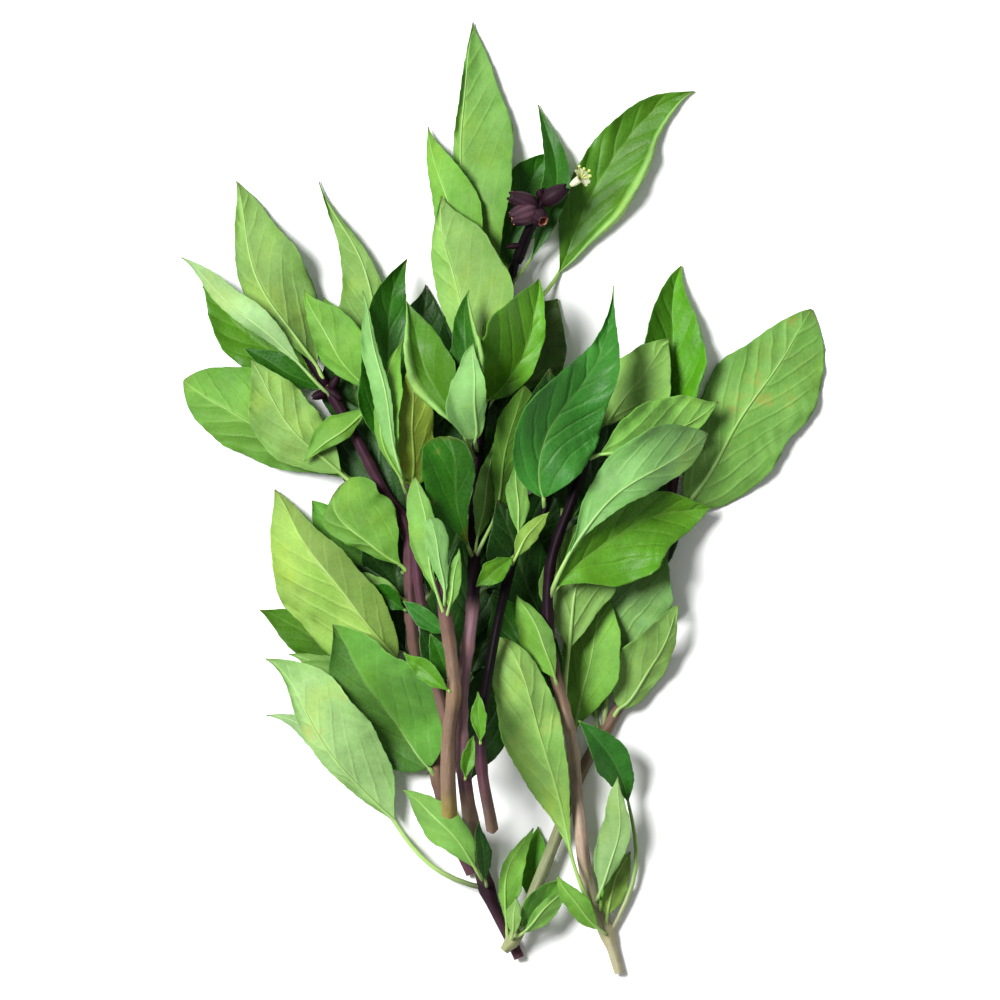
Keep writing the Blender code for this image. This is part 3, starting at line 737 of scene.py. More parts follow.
def lay_leaf(heap, row, root, spring, chance):
    """Lays one leaf on the heap. Gives its blade and its stalk's plan."""
    under = LOOKS[row["look"]][1]
    place = leaf_plan(row, root[:2])
    grid, aside, u = blade_plan(row, place, chance.random())
    start = row["stalk"] / row["length"]
    length = row["length"] * (1 - start)
    away = (start + (1 - start) * u) * row["length"]
    veins = vein_count(u, aside, length)
    flat = np.concatenate([grid, np.zeros((*grid.shape[:2], 1))], 2)
    lowest = heap.read(heap.softened(LEAF_REACH), flat) + GAP + BLADE / 2
    if not under:
        lowest[:, len(COLUMNS) // 2] += RIB
    step = length / (len(u) - 1)
    steps = max(1, int(LEVELLING / step))
    slope = leaning(lowest, aside, steps)[:, None] * aside
    shape = slope + bent(row, aside, u, under, chance) + relief(row, aside, u, veins, under)
    shape += pleated(row, aside, u, veins, chance)
    clear = rolling_peak((lowest - shape).max(axis=1), steps + 2, 0)
    clear = rolling_mean(rolling_mean(bridged(clear, step), steps // 2 + 1, 0), steps // 2 + 1, 0)
    arch = root[2] + away * math.tan(math.radians(LIFT)) - away**2 * DROOP
    height = np.maximum(clear, np.minimum(arch, clear + spring))
    flat[:, :, 2] = height[:, None] + shape
    heap.add(refined(flat), BLADE * 0.6)
    if under:
        heap.add(line_samples(flat[:, len(COLUMNS) // 2]), RIB)
    return dict(
        grid=flat,
        u=u,
        veins=veins,
        under=under,
        place=place,
        start=start,
        row=row,
        seed=chance.random(),
    )


def bent(row, aside, u, under, chance):
    """The rise of a blade's folded halves, of its twist and of its waved edges."""
    size = np.abs(COLUMNS)
    slope = math.tan(math.radians(row["fold"]))
    half = np.abs(aside[:, [0, -1]])
    side_width = np.where(COLUMNS > 0, half[:, 1:2], half[:, 0:1])
    middle_width = half.mean(axis=1, keepdims=True)
    across = middle_width - side_width * size**1.2 if under else side_width * size**1.2
    turned = np.sin(TURN * (0.9 * u + 0.15 + 0.3 * chance.random())) * (abs(row["twist"]) + 4)
    tilt = aside * np.tan(np.radians(turned * (1 if row["twist"] >= 0 else -1)))[:, None]
    wave = np.zeros_like(aside)
    for side in (-1, 1):
        turns = 1.3 + chance.random() * 1.2
        slow = np.sin(TURN * (turns * u + chance.random()))
        fast = 0.4 * np.sin(TURN * (2.6 * turns * u + chance.random()))
        wave[:, COLUMNS * side > 0] = ((slow + fast + 1.4) * half.max() / 10)[:, None]
    ends = min(1.0, row["fold"] / 12) * hump(u)
    return np.maximum(across, 0) * slope + tilt + WAVE * np.minimum(wave, 2.4) * size**2.2 * ends


def pleated(row, aside, u, veins, chance):
    """Broad soft pleats that run out from the midrib with the side veins."""
    share = np.abs(aside) / np.abs(aside).max()
    deep = PLEAT * min(1.2, row["width"] / 18) * min(1.0, row["fold"] / 12)
    pleats = np.zeros_like(aside)
    for side in (aside > 0, aside <= 0):
        count = 1.7 + chance.random()
        turn = veins / count + chance.random()
        pleats = np.where(side, np.sin(TURN * turn) + 0.4 * np.sin(4.6 * math.pi * turn), pleats)
    return deep * pleats * share * hump(u, 0.4)


def rolled(row):
    """How far each column is into the turned-over edge: 0 outside it, 1 at its very edge."""
    if not row["roll"]:
        return 0 * COLUMNS
    way = math.copysign(1, row["roll"])
    share = abs(row["roll"])
    return np.clip((COLUMNS * way - 1 + share) / share, 0, 1)


def firmness(row):
    """How strongly a leaf shows its side veins: young and narrow ones hardly do."""
    return min(1.0, max(0.12, (row["width"] - 7) / 12))


def relief(row, aside, u, veins, under):
    """A blade's swelling between its veins, the groove over its midrib and the bulge of a rolled edge."""
    size = np.abs(COLUMNS)
    fade = np.clip(size * 5, 0, 1) * (1 - size**3) * hump(u)
    swell = QUILT * firmness(row) * np.sin(math.pi * veins) ** 2 * fade
    groove = 0.3 * np.exp(-((aside / 0.8) ** 2)) * (1 - u)[:, None]
    bulge = 1.4 * np.sin(math.pi * rolled(row)) * hump(u)
    return bulge + (QUILT - swell if under else swell - groove)


def refined(grid):
    """A grid of points with more points between, closer together than the height map's cells."""
    for axis in (0, 1):
        first = grid.take(range(grid.shape[axis] - 1), axis)
        last = grid.take(range(1, grid.shape[axis]), axis)
        grid = np.concatenate([first * (1 - k / 4) + last * k / 4 for k in range(5)], axis)
    return grid


def add_blade(shape, laid):
    """Adds a blade with its two faces and its rim to a shape."""
    grid = laid["grid"]
    rows, columns = grid.shape[:2]
    normals = np.cross(np.gradient(grid, axis=0), np.gradient(grid, axis=1))
    normals /= np.maximum(np.linalg.norm(normals, axis=2, keepdims=True), 1e-9)
    thick = BLADE / 2 * np.clip(1.15 - np.abs(COLUMNS) ** 8, 0.3, 1)[None, :, None]
    index = np.arange(rows * columns).reshape(rows, columns)
    u = np.broadcast_to(laid["u"][:, None], (rows, columns))
    v = np.broadcast_to(COLUMNS, (rows, columns))
    place = np.stack([u, v, laid["veins"]], -1).reshape(-1, 3)
    for way in (1, -1):
        faces = grid_faces(index)[:, ::way]
        upper, tint = face_marks(laid, way > 0)
        parts = (upper, firmness(laid["row"]), laid["row"]["worn"])
        spread = [np.broadcast_to(part, (rows, columns)) for part in parts]
        nature = np.stack(spread, -1).reshape(-1, 3)
        tint = np.broadcast_to(tint, (rows, columns, 3)).reshape(-1, 3)
        shape.add((grid + way * thick * normals).reshape(-1, 3), faces, tint, 0, place, nature)
    first = shape.count - 2 * rows * columns
    rim = [*index[:, 0], *index[-1, 1:], *index[-2::-1, -1], *index[0, -2:0:-1]]
    lower = rows * columns
    for p, q in zip(rim, rim[1:] + rim[:1]):
        shape.faces.append(tuple(int(i) + first for i in (p + lower, q + lower, q, p)))
        shape.slots.append(0)
        shape.smooth.append(False)


def face_marks(laid, top):
    """For each column of a blade's face: whether it is the upper side (1) or not (0), and its colour."""
    row = laid["row"]
    look, under = LOOKS[row["look"]]
    other = OTHER_FACE[under]
    turned = (rolled(row) > 0.02)[:, None]
    # sides scale each half's colour: partly the leaf's own tone, partly painted light and shade
    left, right = row["sides"]
    share = np.where(COLUMNS > 0.02, left, np.where(COLUMNS < -0.02, right, (left + right) / 2))[:, None]
    colour = look * share if top else other * np.ones_like(share)
    colour = np.where(turned, other if top else look, colour)
    upper = np.where(turned[:, 0], under == top, under != top).astype(float)
    return upper, colour * (0.93 + 0.14 * laid["seed"])


def stalk_of(laid, root):
    """A laid leaf's stalk and midrib from inside the stem to the tip, and how far along each point is."""
    start = laid["start"]
    middle = laid["grid"][:, len(COLUMNS) // 2]
    before = np.linspace(0, start, 9)[:-1]
    plan = np.column_stack([laid["place"](before), np.zeros(len(before))])
    share = eased(before / start)
    plan[:, 2] = root[2] * (1 - share) + middle[0, 2] * share
    drop = 0.12 if laid["under"] else -0.25
    rib = middle[:-2:2] + [0, 0, drop]
    away = np.concatenate([before - start, laid["u"][:-2:2]])
    return np.vstack([plan, rib]), away


def add_stalk(shape, laid, root, stem_colour):
    """Adds a leaf's stalk and midrib, in the stem's colour beside it and paler than the blade further on."""
    line, away = stalk_of(laid, root)
    width = laid["row"]["width"]
    scale = 0.62 + width / 45
    rib = RIB * scale * (1 - np.clip(away, 0, 1)) ** 0.75
    stalk = PETIOLE * min(scale, 1.15)
    radii = np.where(away < 0, stalk + (RIB * scale - stalk) * np.exp(away * 6), rib) + 0.05
    points = tube(line, radii, STALK_SIDES)
    faces = ring_faces(len(line), STALK_SIDES)
    last = (len(line) - 1) * STALK_SIDES
    faces.append(tuple(range(last, last + STALK_SIDES)))
    # The stalk's green takes the mean share of the blade's halves, with their painted light and shade.
    look = LOOKS[laid["row"]["look"]][0] * np.mean(laid["row"]["sides"])
    pale = np.where(away < 0, 0.55, 0.28)[:, None]
    green = STALK_GREEN * pale + look * (1 - pale)
    near = np.clip(np.arange(len(line)) / 4, 0, 1)[:, None]
    tint = np.repeat(stem_colour * (1 - near) + green * near, STALK_SIDES, 0)
    along = np.repeat(lengths_along(line), STALK_SIDES)
    turn = np.tile(np.arange(STALK_SIDES), len(line))
    place = np.stack([along, turn, 0 * along], -1)
    shape.add(points, faces, tint, 1, place, (0, laid["seed"], 0))


# ---- stems ----


def lay_stem(heap, sprig, clear=STEM_CLEAR):
    """The centre line of a stem laid on the heap, and its radii."""
    length = lengths_along(smooth_curve(sprig["route"], 60))[-1]
    fine = smooth_curve(sprig["route"], int(length / STEM_STEP) + 2)
    radii = np.linspace(*sprig["radius"], len(fine))
    need = heap.read(heap.widened(clear), fine) + GAP
    steps = int(STEM_REACH / STEM_STEP)
    padded = np.pad(need, 2 * steps, mode="edge")
    soft = rolling_mean(rolling_peak(padded, steps, 0), steps // 2, 0)[2 * steps:-2 * steps]
    return np.column_stack([fine, soft + radii]), radii


def add_to_heap(heap, line, radius):
    """Adds a stem to the heap, its middle and both its flanks."""
    along = headings(line[:, :2])
    for side in (-FLANK, 0, FLANK):
        flank = line.copy()
        flank[:, 0] -= side * radius * along[:, 1]
        flank[:, 1] += side * radius * along[:, 0]
        heap.add(line_samples(flank), radius)


def colours_along(stops, run):
    """A stem's colour at lengths from its cut end."""
    where = [at for at, _ in stops]
    table = np.array([colour for _, colour in stops])
    return np.stack([np.interp(run, where, table[:, k]) for k in range(3)], -1)


def add_stem(shape, line, radii, sprig):
    """Adds a square stem with a swelling at each pair of leaves and cut ends."""
    run = lengths_along(line)
    nodes = {row["at"] for row in sprig["below"] + sprig["above"]}
    swelling = sum((np.exp(-(((run - at) / 1.6) ** 2)) for at in nodes), 0 * run)
    first = min(nodes, default=0)
    foot = np.interp(run, [0, 0.7 * first, first + 1], FOOT_GIRTHS) if first < FOOT else 1.0
    radii = radii * foot * (1 + NODE_SWELLING * np.clip(swelling, 0, 1))
    points = tube(line, radii, STEM_SIDES, square_section)
    tint = np.repeat(colours_along(sprig["colours"], run), STEM_SIDES, 0)
    along = np.repeat(run, STEM_SIDES)
    turn = np.tile(np.arange(STEM_SIDES) / STEM_SIDES, len(line))
    near_node = np.repeat(np.clip(swelling, 0, 1), STEM_SIDES)
    place = np.stack([along, turn, near_node], -1)
    shape.add(points, ring_faces(len(line), STEM_SIDES), tint, place=place)
    add_cut(shape, points[:STEM_SIDES], -1, tint[0])
    add_cut(shape, points[-STEM_SIDES:], 1, tint[-1])


def add_cut(shape, ring, way, tint):
    """Adds a stem's flat end: skin round its rim and pith inside."""
    centre = ring.mean(axis=0)
    cap = np.vstack([ring, centre + (ring - centre) * PITH, centre[None]])
    reach = np.repeat([1, PITH, 0], [STEM_SIDES, STEM_SIDES, 1])
    place = np.stack([reach, 0 * reach, 0 * reach], -1)
    shape.add(cap, cap_faces(STEM_SIDES, way), tint, 1, place, smooth=False)


def cap_faces(sides, way):
    """Faces of a round end: a band round a fan."""
    faces = []
    for k in range(sides):
        n = (k + 1) % sides
        band = (k, n, sides + n, sides + k)
        fan = (sides + k, sides + n, 2 * sides)
        faces += [band[::way], fan[::way]]
    return faces


# ---- flowers ----


def pointing(heading, tilt):
    """A unit vector along a heading, raised by tilt."""
    angle, rise = math.radians(heading), math.radians(tilt)
    return np.array([math.cos(angle) * math.cos(rise), math.sin(angle) * math.cos(rise), math.sin(rise)])


def ribbed_section(turn):
    """A calyx's cross-section, with a rib down each of its veins."""
    return 1 + 0.05 * np.cos(CALYX_RIBS * turn)


def add_calyx(shape, root, heading, length, radius, tilt=12, faded=0.0):
    """Adds a hollow ribbed calyx: a narrow foot that swells to a lobed mouth, and its inside."""
    ahead = pointing(heading, tilt)
    profile = np.array(CALYX_OUTER + CALYX_INNER)
    line = root + ahead * length * np.linspace(0, 1, len(profile))[:, None]
    rings = tube(line, radius * profile[:, 1], CALYX_SIDES, ribbed_section)
    rings = rings.reshape(len(profile), CALYX_SIDES, 3)
    rings += (root + ahead * length * profile[:, :1] - line)[:, None]
    turn = (np.arange(CALYX_SIDES) + 0.5) / CALYX_SIDES * TURN
    lobes = 0.06 * np.cos(CALYX_LOBES * turn) - 0.12 * np.cos(turn)
    near_mouth = np.clip((profile[:, 0] - 0.7) / 0.3, 0, 1)
    rings += near_mouth[:, None, None] * lobes[:, None] * length * ahead
    along = np.repeat(profile[:, 0] * length, CALYX_SIDES)
    place = np.stack([along, np.tile(turn / TURN, len(profile)), 0 * along], -1)
    faces = ring_faces(len(profile), CALYX_SIDES)
    shape.add(rings.reshape(-1, 3), faces, calyx_tint(profile[:, 0], faded), place=place)


def calyx_tint(along, faded):
    """A calyx's colours: dark outside and faded on its ribs, light inside, painted shade deep in its cup."""
    face = faded * np.clip(np.sin(math.pi * np.clip(along * 1.15 - 0.15, 0, 1)), 0, 1) ** 0.7
    ribs = 0.5 - 0.5 * np.cos(CALYX_RIBS * np.arange(CALYX_SIDES) / CALYX_SIDES * TURN)
    share = (face[:, None] * (0.45 + 0.55 * ribs))[..., None]
    tint = CALYX * (1 - share) + FADED * share
    tint[len(CALYX_OUTER):] = CALYX_INSIDE
    # The bottom of the cup is painted shade: its inside colour darkened.
    tint[-2:] = CALYX_INSIDE * 0.35
    return tint.reshape(-1, 3)


def add_petal(shape, centre, frame, turn, length, width):
    """Adds one lobe of the flower's rim, spread out round the throat and curled back."""
    ahead, side, up = frame
    out = math.cos(turn) * side + math.sin(turn) * up
    across = np.cross(ahead, out)
    t = np.linspace(0, 1, 9)[:, None]
    v = np.linspace(-1, 1, 7)
    reach = (0.5 + length * t)[..., None] * out
    rise = (0.9 * np.sin(math.pi * 0.6 * t) + 0.25 * v**2 * t)[..., None] * ahead
    spread = (width / 2 * v * np.sin(math.pi * (0.12 + 0.82 * t)) ** 0.7)[..., None] * across
    grid = centre + reach + rise + spread
    index = np.arange(grid.shape[0] * grid.shape[1]).reshape(grid.shape[:2])
    place = np.stack([np.broadcast_to(t, index.shape), np.broadcast_to(v, index.shape), 0 * index], -1)
    for way in (1, -1):
        face = (grid + way * PETAL_BODY * ahead).reshape(-1, 3)
        shape.add(face, grid_faces(index)[:, ::way], PETAL, place=place.reshape(-1, 3))


def add_stamen(shape, centre, heading, tilt, length):
    """Adds a thin stamen that bends up, with its anther."""
    start, end = pointing(heading, tilt - 20), pointing(heading, tilt + 25)
    t = np.linspace(0, 1, 10)[:, None]
    line = centre + length * t * (start * (1 - t) + end * t)
    shape.add(tube(line, np.full(10, 0.17), 6), ring_faces(10, 6), STAMEN)
    bead = line[-1] + end * 0.9 * np.linspace(-0.5, 0.5, 7)[:, None]
    round_out = 0.42 * np.sqrt(np.maximum(1 - np.linspace(-1, 1, 7) ** 2, 0.01))
    shape.add(tube(bead, round_out, 8), ring_faces(7, 8), STAMEN * 1.1)


def build_spike(heap, stem_end, materials):
    """The axis above the top pair of leaves with its calyces. Gives the axis."""
    spike = Shape("spike_with_calyces", [materials["stem"], materials["cut"]])
    line, radii = lay_stem(heap, dict(route=SPIKE_ROUTE, radius=SPIKE_RADIUS), SPIKE_REACH)
    share = eased(np.clip(lengths_along(line[:, :2]) / SPIKE_RISE, 0, 1))
    line[:, 2] = stem_end[2] + (line[-1, 2] + SPIKE_CLEAR - stem_end[2]) * share
    add_stem(spike, line, radii, dict(below=[], above=[], colours=[(0, BLACK), (20, BLACK)]))
    for at, heading, length, radius, tilt, faded in CALYCES:
        add_calyx(spike, root_of(line, at), heading, length, radius, tilt, faded)
    spike.made("flower_spike")
    return line


def build_open_flower(axis, materials):
    """The open flower beside the spike's axis: a tube, its spread lobes and the stamens."""
    flower = Shape("blossom", [materials["petal"]])
    centre = np.array([*FLOWER_AT, root_of(axis, 18.0)[2] + FLOWER_LIFT])
    ahead = pointing(FLOWER_HEADING, FLOWER_TILT)
    side = np.cross([0, 0, 1], ahead)
    side /= np.linalg.norm(side)
    frame = (ahead, side, np.cross(ahead, side))
    rings = len(THROAT_WIDTHS)
    throat = centre + ahead * np.linspace(-3.2, 0.4, rings)[:, None]
    flower.add(tube(throat, THROAT_WIDTHS, THROAT_SIDES), ring_faces(rings, THROAT_SIDES), PETAL)
    flower.add(tube(throat[-2:], [1.0, 0.1], THROAT_SIDES), ring_faces(2, THROAT_SIDES), THROAT)
    for k in range(LOBES):
        turn = math.radians(90 + (k - (LOBES - 1) / 2) * LOBE_TURN)
        add_petal(flower, centre, frame, turn, *LOBE_SIZE)
    add_petal(flower, centre, frame, math.radians(-90), *LIP_SIZE)
    for k in range(STAMENS):
        heading = FLOWER_HEADING + 18 + (k - (STAMENS - 1) / 2) * STAMEN_TURN
        add_stamen(flower, centre, heading, FLOWER_TILT, 4.8 + 0.7 * (k % 2))
    flower.made("open_flower")


def build_sprig(heap, sprig, order, materials):
    """One leafy stem: the leaves that it lies on, then the stem, then the leaves on top. Gives its tip."""
    chance = np.random.default_rng(FIRST_SEED + order)
    leaves = Shape(sprig["name"] + "_leaves", [materials["blade"], materials["stalk"]])
    stem = Shape(sprig["name"] + "_stalk", [materials["stem"], materials["cut"]])
    guide, _ = lay_stem(heap, sprig)
    laid = [lay_leaf(heap, row, root_of(guide, row["at"]), HIDDEN_SPRING, chance) for row in sprig["below"]]
    line, radii = lay_stem(heap, sprig)
    add_stem(stem, line, radii, sprig)
    add_to_heap(heap, line, radii.mean())
    for row in sprig["above"]:
        root = root_of(line, row["at"])
        laid.append(lay_leaf(heap, row, root, SPRING, chance))
        heap.add(line_samples(stalk_of(laid[-1], root)[0][1:]), RIB)
    for one in laid:
        at = one["row"]["at"]
        add_blade(leaves, one)
        add_stalk(leaves, one, root_of(line, at), colours_along(sprig["colours"], [at])[0])
    for at, heading in sprig.get("buds", []):
        add_calyx(stem, root_of(line, at), heading, 4.5, 1.3)
    leaves.made(sprig["name"])
    stem.made(sprig["name"])
    return line[-1]


# ---- materials ----


class Graph:
    """A material's nodes, built by short calls that give a socket back."""

    def __init__(self, tree, surface=None):
        self.tree = tree
        self.surface = surface

    def show(self, shader):
        self.tree.links.new(shader, self.surface)

    def node(self, kind, inputs=(), output=0, **settings):
        made = self.tree.nodes.new(kind)
        for name, value in settings.items():
            setattr(made, name, value)
        for key, value in dict(inputs).items():
            if isinstance(value, bpy.types.NodeSocket):
                self.tree.links.new(value, made.inputs[key])
            else:
                made.inputs[key].default_value = value
        return made.outputs[output]

    def math(self, operation, a, b=0.0):
        return self.node("ShaderNodeMath", {0: a, 1: b}, operation=operation)

    def plus(self, a, b):
        return self.math("ADD", a, b)

    def minus(self, a, b):
        return self.math("SUBTRACT", a, b)

    def times(self, a, b):
        return self.math("MULTIPLY", a, b)

    def mix(self, share, a, b, blend="MIX"):
        inputs = {0: share, 6: a, 7: b}
        return self.node("ShaderNodeMix", inputs, output=2, data_type="RGBA", blend_type=blend)

    def tinted(self, colour, red, green, blue):
        """A colour times another one."""
        return self.mix(1.0, colour, (red, green, blue, 1), "MULTIPLY")

    def band(self, value, low, high, to_low=0.0, to_high=1.0):
        """value from low..high to to_low..to_high, eased and clamped."""
        inputs = {0: value, 1: low, 2: high, 3: to_low, 4: to_high}
        return self.node("ShaderNodeMapRange", inputs, interpolation_type="SMOOTHSTEP")

    def noise(self, scale, detail=3.0, roughness=0.55, vector=None):
        inputs = {"Scale": scale, "Detail": detail, "Roughness": roughness}
        if vector is not None:
            inputs["Vector"] = vector
        return self.node("ShaderNodeTexNoise", inputs)

    def attribute(self, name, output="Vector"):
        return self.node("ShaderNodeAttribute", output=output, attribute_name=name)

    def tint(self):
        """The colour given at each point."""
        return self.attribute("tint", "Color")

    def parts(self, vector):
        made = self.node("ShaderNodeSeparateXYZ", {0: vector})
        return [made.node.outputs[k] for k in range(3)]

    def mottled(self, colour, scale, amount):
        inputs = {"Colour": colour, "Scale": scale, "Amount": amount}
        return self.node("ShaderNodeGroup", inputs, node_tree=bpy.data.node_groups["mottling"])

    def spot(self):
        """Where a point is on its piece, in metres."""
        return self.node("ShaderNodeTexCoord", output="Object")

    def bump(self, height, strength, distance):
        return self.node("ShaderNodeBump", {"Strength": strength, "Distance": distance, "Height": height})

    def skin(self, colour, rough, normal, shine=0.5):
        inputs = {"Base Color": colour, "Roughness": rough, "Normal": normal, "Specular IOR Level": shine}
        return self.node("ShaderNodeBsdfPrincipled", inputs)


def blank_material(name):
    """A material with only its output, and its graph."""
    material = bpy.data.materials.new(name)
    material.use_nodes = True
    tree = material.node_tree
    tree.nodes.clear()
    output = tree.nodes.new("ShaderNodeOutputMaterial")
    return material, Graph(tree, output.inputs["Surface"])


def build_mottling():
    """A shared effect: uneven colour, as cell sap and wax leave it."""
    tree = bpy.data.node_groups.new("mottling", "ShaderNodeTree")
    for name, kind in (("Colour", "Color"), ("Scale", "Float"), ("Amount", "Float")):
        tree.interface.new_socket(name, in_out="INPUT", socket_type="NodeSocket" + kind)
    tree.interface.new_socket("Colour", in_out="OUTPUT", socket_type="NodeSocketColor")
    graph = Graph(tree)
    given = tree.nodes.new("NodeGroupInput").outputs
    where = graph.spot()
    broad = graph.noise(given["Scale"], 2.0, 0.5, where)
    fine = graph.noise(graph.times(given["Scale"], 6.0), 3.0, 0.6, where)
    both = graph.plus(graph.times(broad, 0.7), graph.times(fine, 0.3))
    factor = graph.plus(graph.times(graph.minus(both, 0.5), given["Amount"]), 1.0)
    scaled = graph.node("ShaderNodeVectorMath", {0: given["Colour"], "Scale": factor}, operation="SCALE")
    tree.links.new(scaled, tree.nodes.new("NodeGroupOutput").inputs[0])


def blade_material():
    """A leaf blade: glossy and green above, matt and pale below, with raised veins and a faint net."""
    material, g = blank_material("leaf_blade")
    along, across, vein = g.parts(g.attribute("place"))
    upper, firm, worn = g.parts(g.attribute("nature"))
    tint = g.tint()
    where = g.spot()
    out = g.math("ABSOLUTE", across)
    wobble = g.times(g.minus(g.noise(200.0, 2.0, 0.5, where), 0.5), 0.35)
    turn = g.plus(vein, wobble)
    near = g.math("ABSOLUTE", g.minus(g.math("FRACT", g.plus(turn, 0.5)), 0.5))
    ridge = g.times(g.band(near, 0.0, 0.2, 1.0, 0.0), g.band(out, 0.6, 1.0, 1.0, 0.0))
    line = g.times(g.band(near, 0.01, 0.055, 1.0, 0.0), g.band(out, 0.45, 0.95, 1.0, 0.0))
    middle = g.band(out, 0.02, 0.1, 1.0, 0.0)
    cells = {"Vector": where, "Scale": 750.0, "Randomness": 1.0}
    net = g.node("ShaderNodeTexVoronoi", cells, feature="DISTANCE_TO_EDGE")
    net = g.band(net, 0.0, 0.2, 1.0, 0.0)
    body = g.mottled(tint, 95.0, 1.1)
    deeper = g.tinted(body, 0.6, 0.78, 0.5)
    yellower = g.tinted(body, 1.18, 1.03, 0.7)
    patch = g.noise(70.0, 2.0, 0.5, where)
    body = g.mix(g.band(patch, 0.5, 0.75, 0.0, 0.75), body, yellower)
    body = g.mix(g.band(patch, 0.5, 0.28, 0.0, 0.55), body, deeper)
    body = g.mix(g.band(out, 0.5, 1.0, 0.0, 0.3), body, deeper)
    light = g.mix(0.2, g.tinted(body, 1.6, 1.45, 1.6), (0.6, 0.82, 0.3, 1))
    strength = g.band(upper, 0.0, 1.0, 0.34, 0.2)
    veins = g.plus(g.times(line, 0.4), g.times(ridge, 0.4))
    veins = g.math("MAXIMUM", g.times(veins, firm), g.times(middle, 1.1))
    body = g.mix(g.times(veins, strength), body, light)
    body = g.mix(g.times(net, 0.07), body, light)
    body = g.mix(g.band(along, 0.93, 1.0, 0.0, 0.35), body, (0.12, 0.1, 0.03, 1))
    spots = g.band(g.noise(95.0, 4.0, 0.6, where), 0.56, 0.7)
    body = g.mix(g.times(spots, worn), body, (0.45, 0.2, 0.04, 1))
    raised = g.plus(g.times(line, 0.5), g.times(ridge, 1.4))
    raised = g.plus(g.times(raised, firm), g.times(net, 0.2))
    sign = g.minus(1.0, g.times(upper, 2.0))
    pores = g.times(g.noise(1400.0, 3.0, 0.6, where), 0.35)
    height = g.plus(g.times(raised, sign), pores)
    normal = g.bump(height, 0.6, 0.00018)
    rough = g.plus(g.times(upper, -0.16), 0.58)
    rough = g.plus(rough, g.times(g.noise(300.0, 3.0, 0.5, where), 0.14))
    gloss = g.skin(body, rough, normal, 0.28)
    through = g.tinted(body, 0.9, 1.0, 0.25)
    glow = g.node("ShaderNodeBsdfTranslucent", {"Color": through, "Normal": normal})
    both = g.node("ShaderNodeMixShader", {0: 0.16, 1: gloss, 2: glow})
    g.show(both)
    return material


def stalk_material():
    """Leaf stalks and midribs: juicy, pale and finely mottled."""
    material, g = blank_material("leaf_stalk")
    body = g.mottled(g.tint(), 300.0, 0.45)
    where = g.spot()
    normal = g.bump(g.noise(1500.0, 3.0, 0.6, where), 0.3, 0.0002)
    g.show(g.skin(body, 0.45, normal))
    return material


def stem_material():
    """A stem's skin: streaked along its length, and a little lighter where leaves grow."""
    material, g = blank_material("stem_skin")
    along, turn, node = g.parts(g.attribute("place"))
    tint = g.tint()
    streaks = g.node("ShaderNodeCombineXYZ", {0: g.times(along, 0.06), 1: g.times(turn, 9.0), 2: 0.0})
    streak = g.noise(3.2, 4.0, 0.65, streaks)
    body = g.mottled(tint, 220.0, 0.7)
    lighter = g.tinted(body, 1.7, 1.6, 1.45)
    body = g.mix(g.band(streak, 0.5, 0.75, 0.0, 0.6), body, lighter)
    darker = g.tinted(body, 0.5, 0.4, 0.45)
    body = g.mix(g.band(streak, 0.5, 0.28, 0.0, 0.6), body, darker)
    ring = g.tinted(body, 1.15, 1.1, 0.9)
    body = g.mix(g.times(node, 0.5), body, ring)
    where = g.spot()
    height = g.plus(streak, g.times(g.noise(1800.0, 2.0, 0.5, where), 0.3))
    normal = g.bump(height, 0.3, 0.0002)
    g.show(g.skin(body, 0.55, normal, 0.1))
    return material


def cut_material():
    """A cut end: skin round pale pith."""
    material, g = blank_material("cut_end")
    reach, _, _ = g.parts(g.attribute("place"))
    grain = g.noise(900.0, 3.0, 0.6, g.spot())
    pith = g.mix(grain, (0.5, 0.42, 0.24, 1), (0.3, 0.22, 0.12, 1))
    body = g.mix(g.band(reach, 0.6, 0.95), pith, g.tint())
    normal = g.bump(grain, 0.6, 0.0004)
    g.show(g.skin(body, 0.75, normal))
    return material


def petal_material():
    """Petals and stamens: thin, moist and faintly mottled."""
    material, g = blank_material("petal")
    body = g.mottled(g.tint(), 500.0, 0.35)
    where = g.spot()
    normal = g.bump(g.noise(1800.0, 3.0, 0.6, where), 0.3, 0.0002)
    gloss = g.skin(body, 0.5, normal)
    glow = g.node("ShaderNodeBsdfTranslucent", {"Color": body, "Normal": normal})
    g.show(g.node("ShaderNodeMixShader", {0: 0.25, 1: gloss, 2: glow}))
    return material


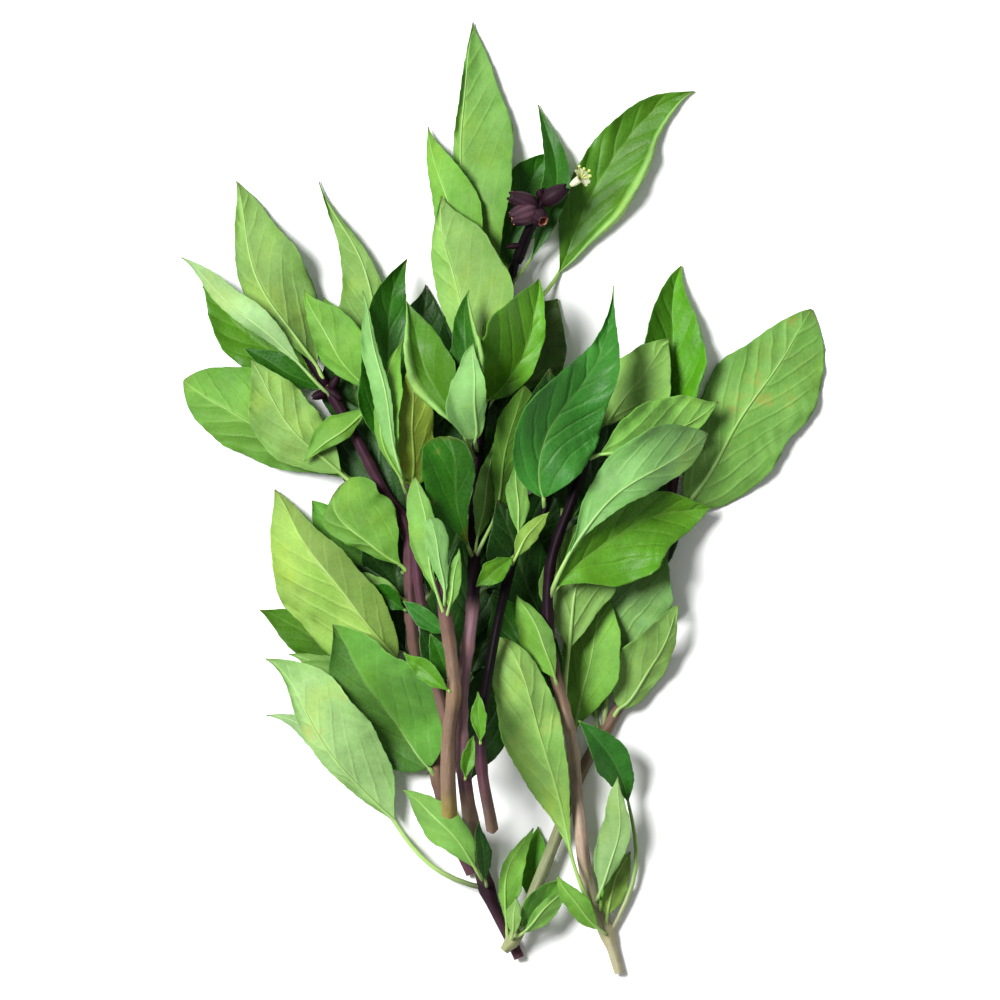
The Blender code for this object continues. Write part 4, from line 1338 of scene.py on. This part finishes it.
def build_materials():
    """Every piece's materials, by a short name."""
    build_mottling()
    return dict(
        blade=blade_material(),
        stalk=stalk_material(),
        stem=stem_material(),
        cut=cut_material(),
        petal=petal_material(),
    )


# ---- the stage ----


def build_floor():
    """A pale floor, wider than the pictures."""
    mesh = bpy.data.meshes.new("floor")
    corners = [(x * FLOOR_REACH, y * FLOOR_REACH, 0) for x, y in ((-1, -1), (1, -1), (1, 1), (-1, 1))]
    mesh.from_pydata(corners, [], [(0, 1, 2, 3)])
    material, g = blank_material("floor_paper")
    grain = g.noise(40.0, 2.0, 0.5, g.spot())
    paper = g.mix(grain, (0.93, 0.93, 0.93, 1), (0.96, 0.96, 0.96, 1))
    g.show(g.node("ShaderNodeBsdfPrincipled", {"Base Color": paper, "Roughness": 0.9}))
    mesh.materials.append(material)
    added("floor", mesh)


def build_light():
    """Soft light from all round and from a broad lamp at the left."""
    world = bpy.data.worlds.new("studio")
    world.use_nodes = True
    background = world.node_tree.nodes["Background"]
    background.inputs["Color"].default_value = (1, 1, 1, 1)
    background.inputs["Strength"].default_value = SKY_STRENGTH
    bpy.context.scene.world = world
    bpy.context.scene.view_settings.view_transform = "Standard"

    lamp = bpy.data.lights.new("window", "AREA")
    lamp.shape = "DISK"
    lamp.size = LAMP_SIZE
    lamp.energy = LAMP_WATTS
    light = added("window", lamp)
    light.location = LAMP_AT
    light.rotation_euler = (-Vector(LAMP_AT)).to_track_quat("-Z", "Y").to_euler()


def build_camera():
    """The camera, straight over the middle of the bunch."""
    lens = bpy.data.cameras.new("camera")
    lens.lens = lens.sensor_width * CAMERA_HEIGHT / SEEN
    lens.clip_end = 20
    camera = added("camera", lens)
    camera.location = (-MIDDLE[0] * MM, -MIDDLE[1] * MM, CAMERA_HEIGHT)
    bpy.context.scene.camera = camera


def main():
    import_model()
    materials = build_materials()
    heap = Heap()
    for order, sprig in enumerate(SPRIGS):
        end = build_sprig(heap, sprig, order, materials)
        if sprig["name"] == "flowering_stem":
            build_open_flower(build_spike(heap, end, materials), materials)
    build_floor()
    build_light()
    build_camera()


main()
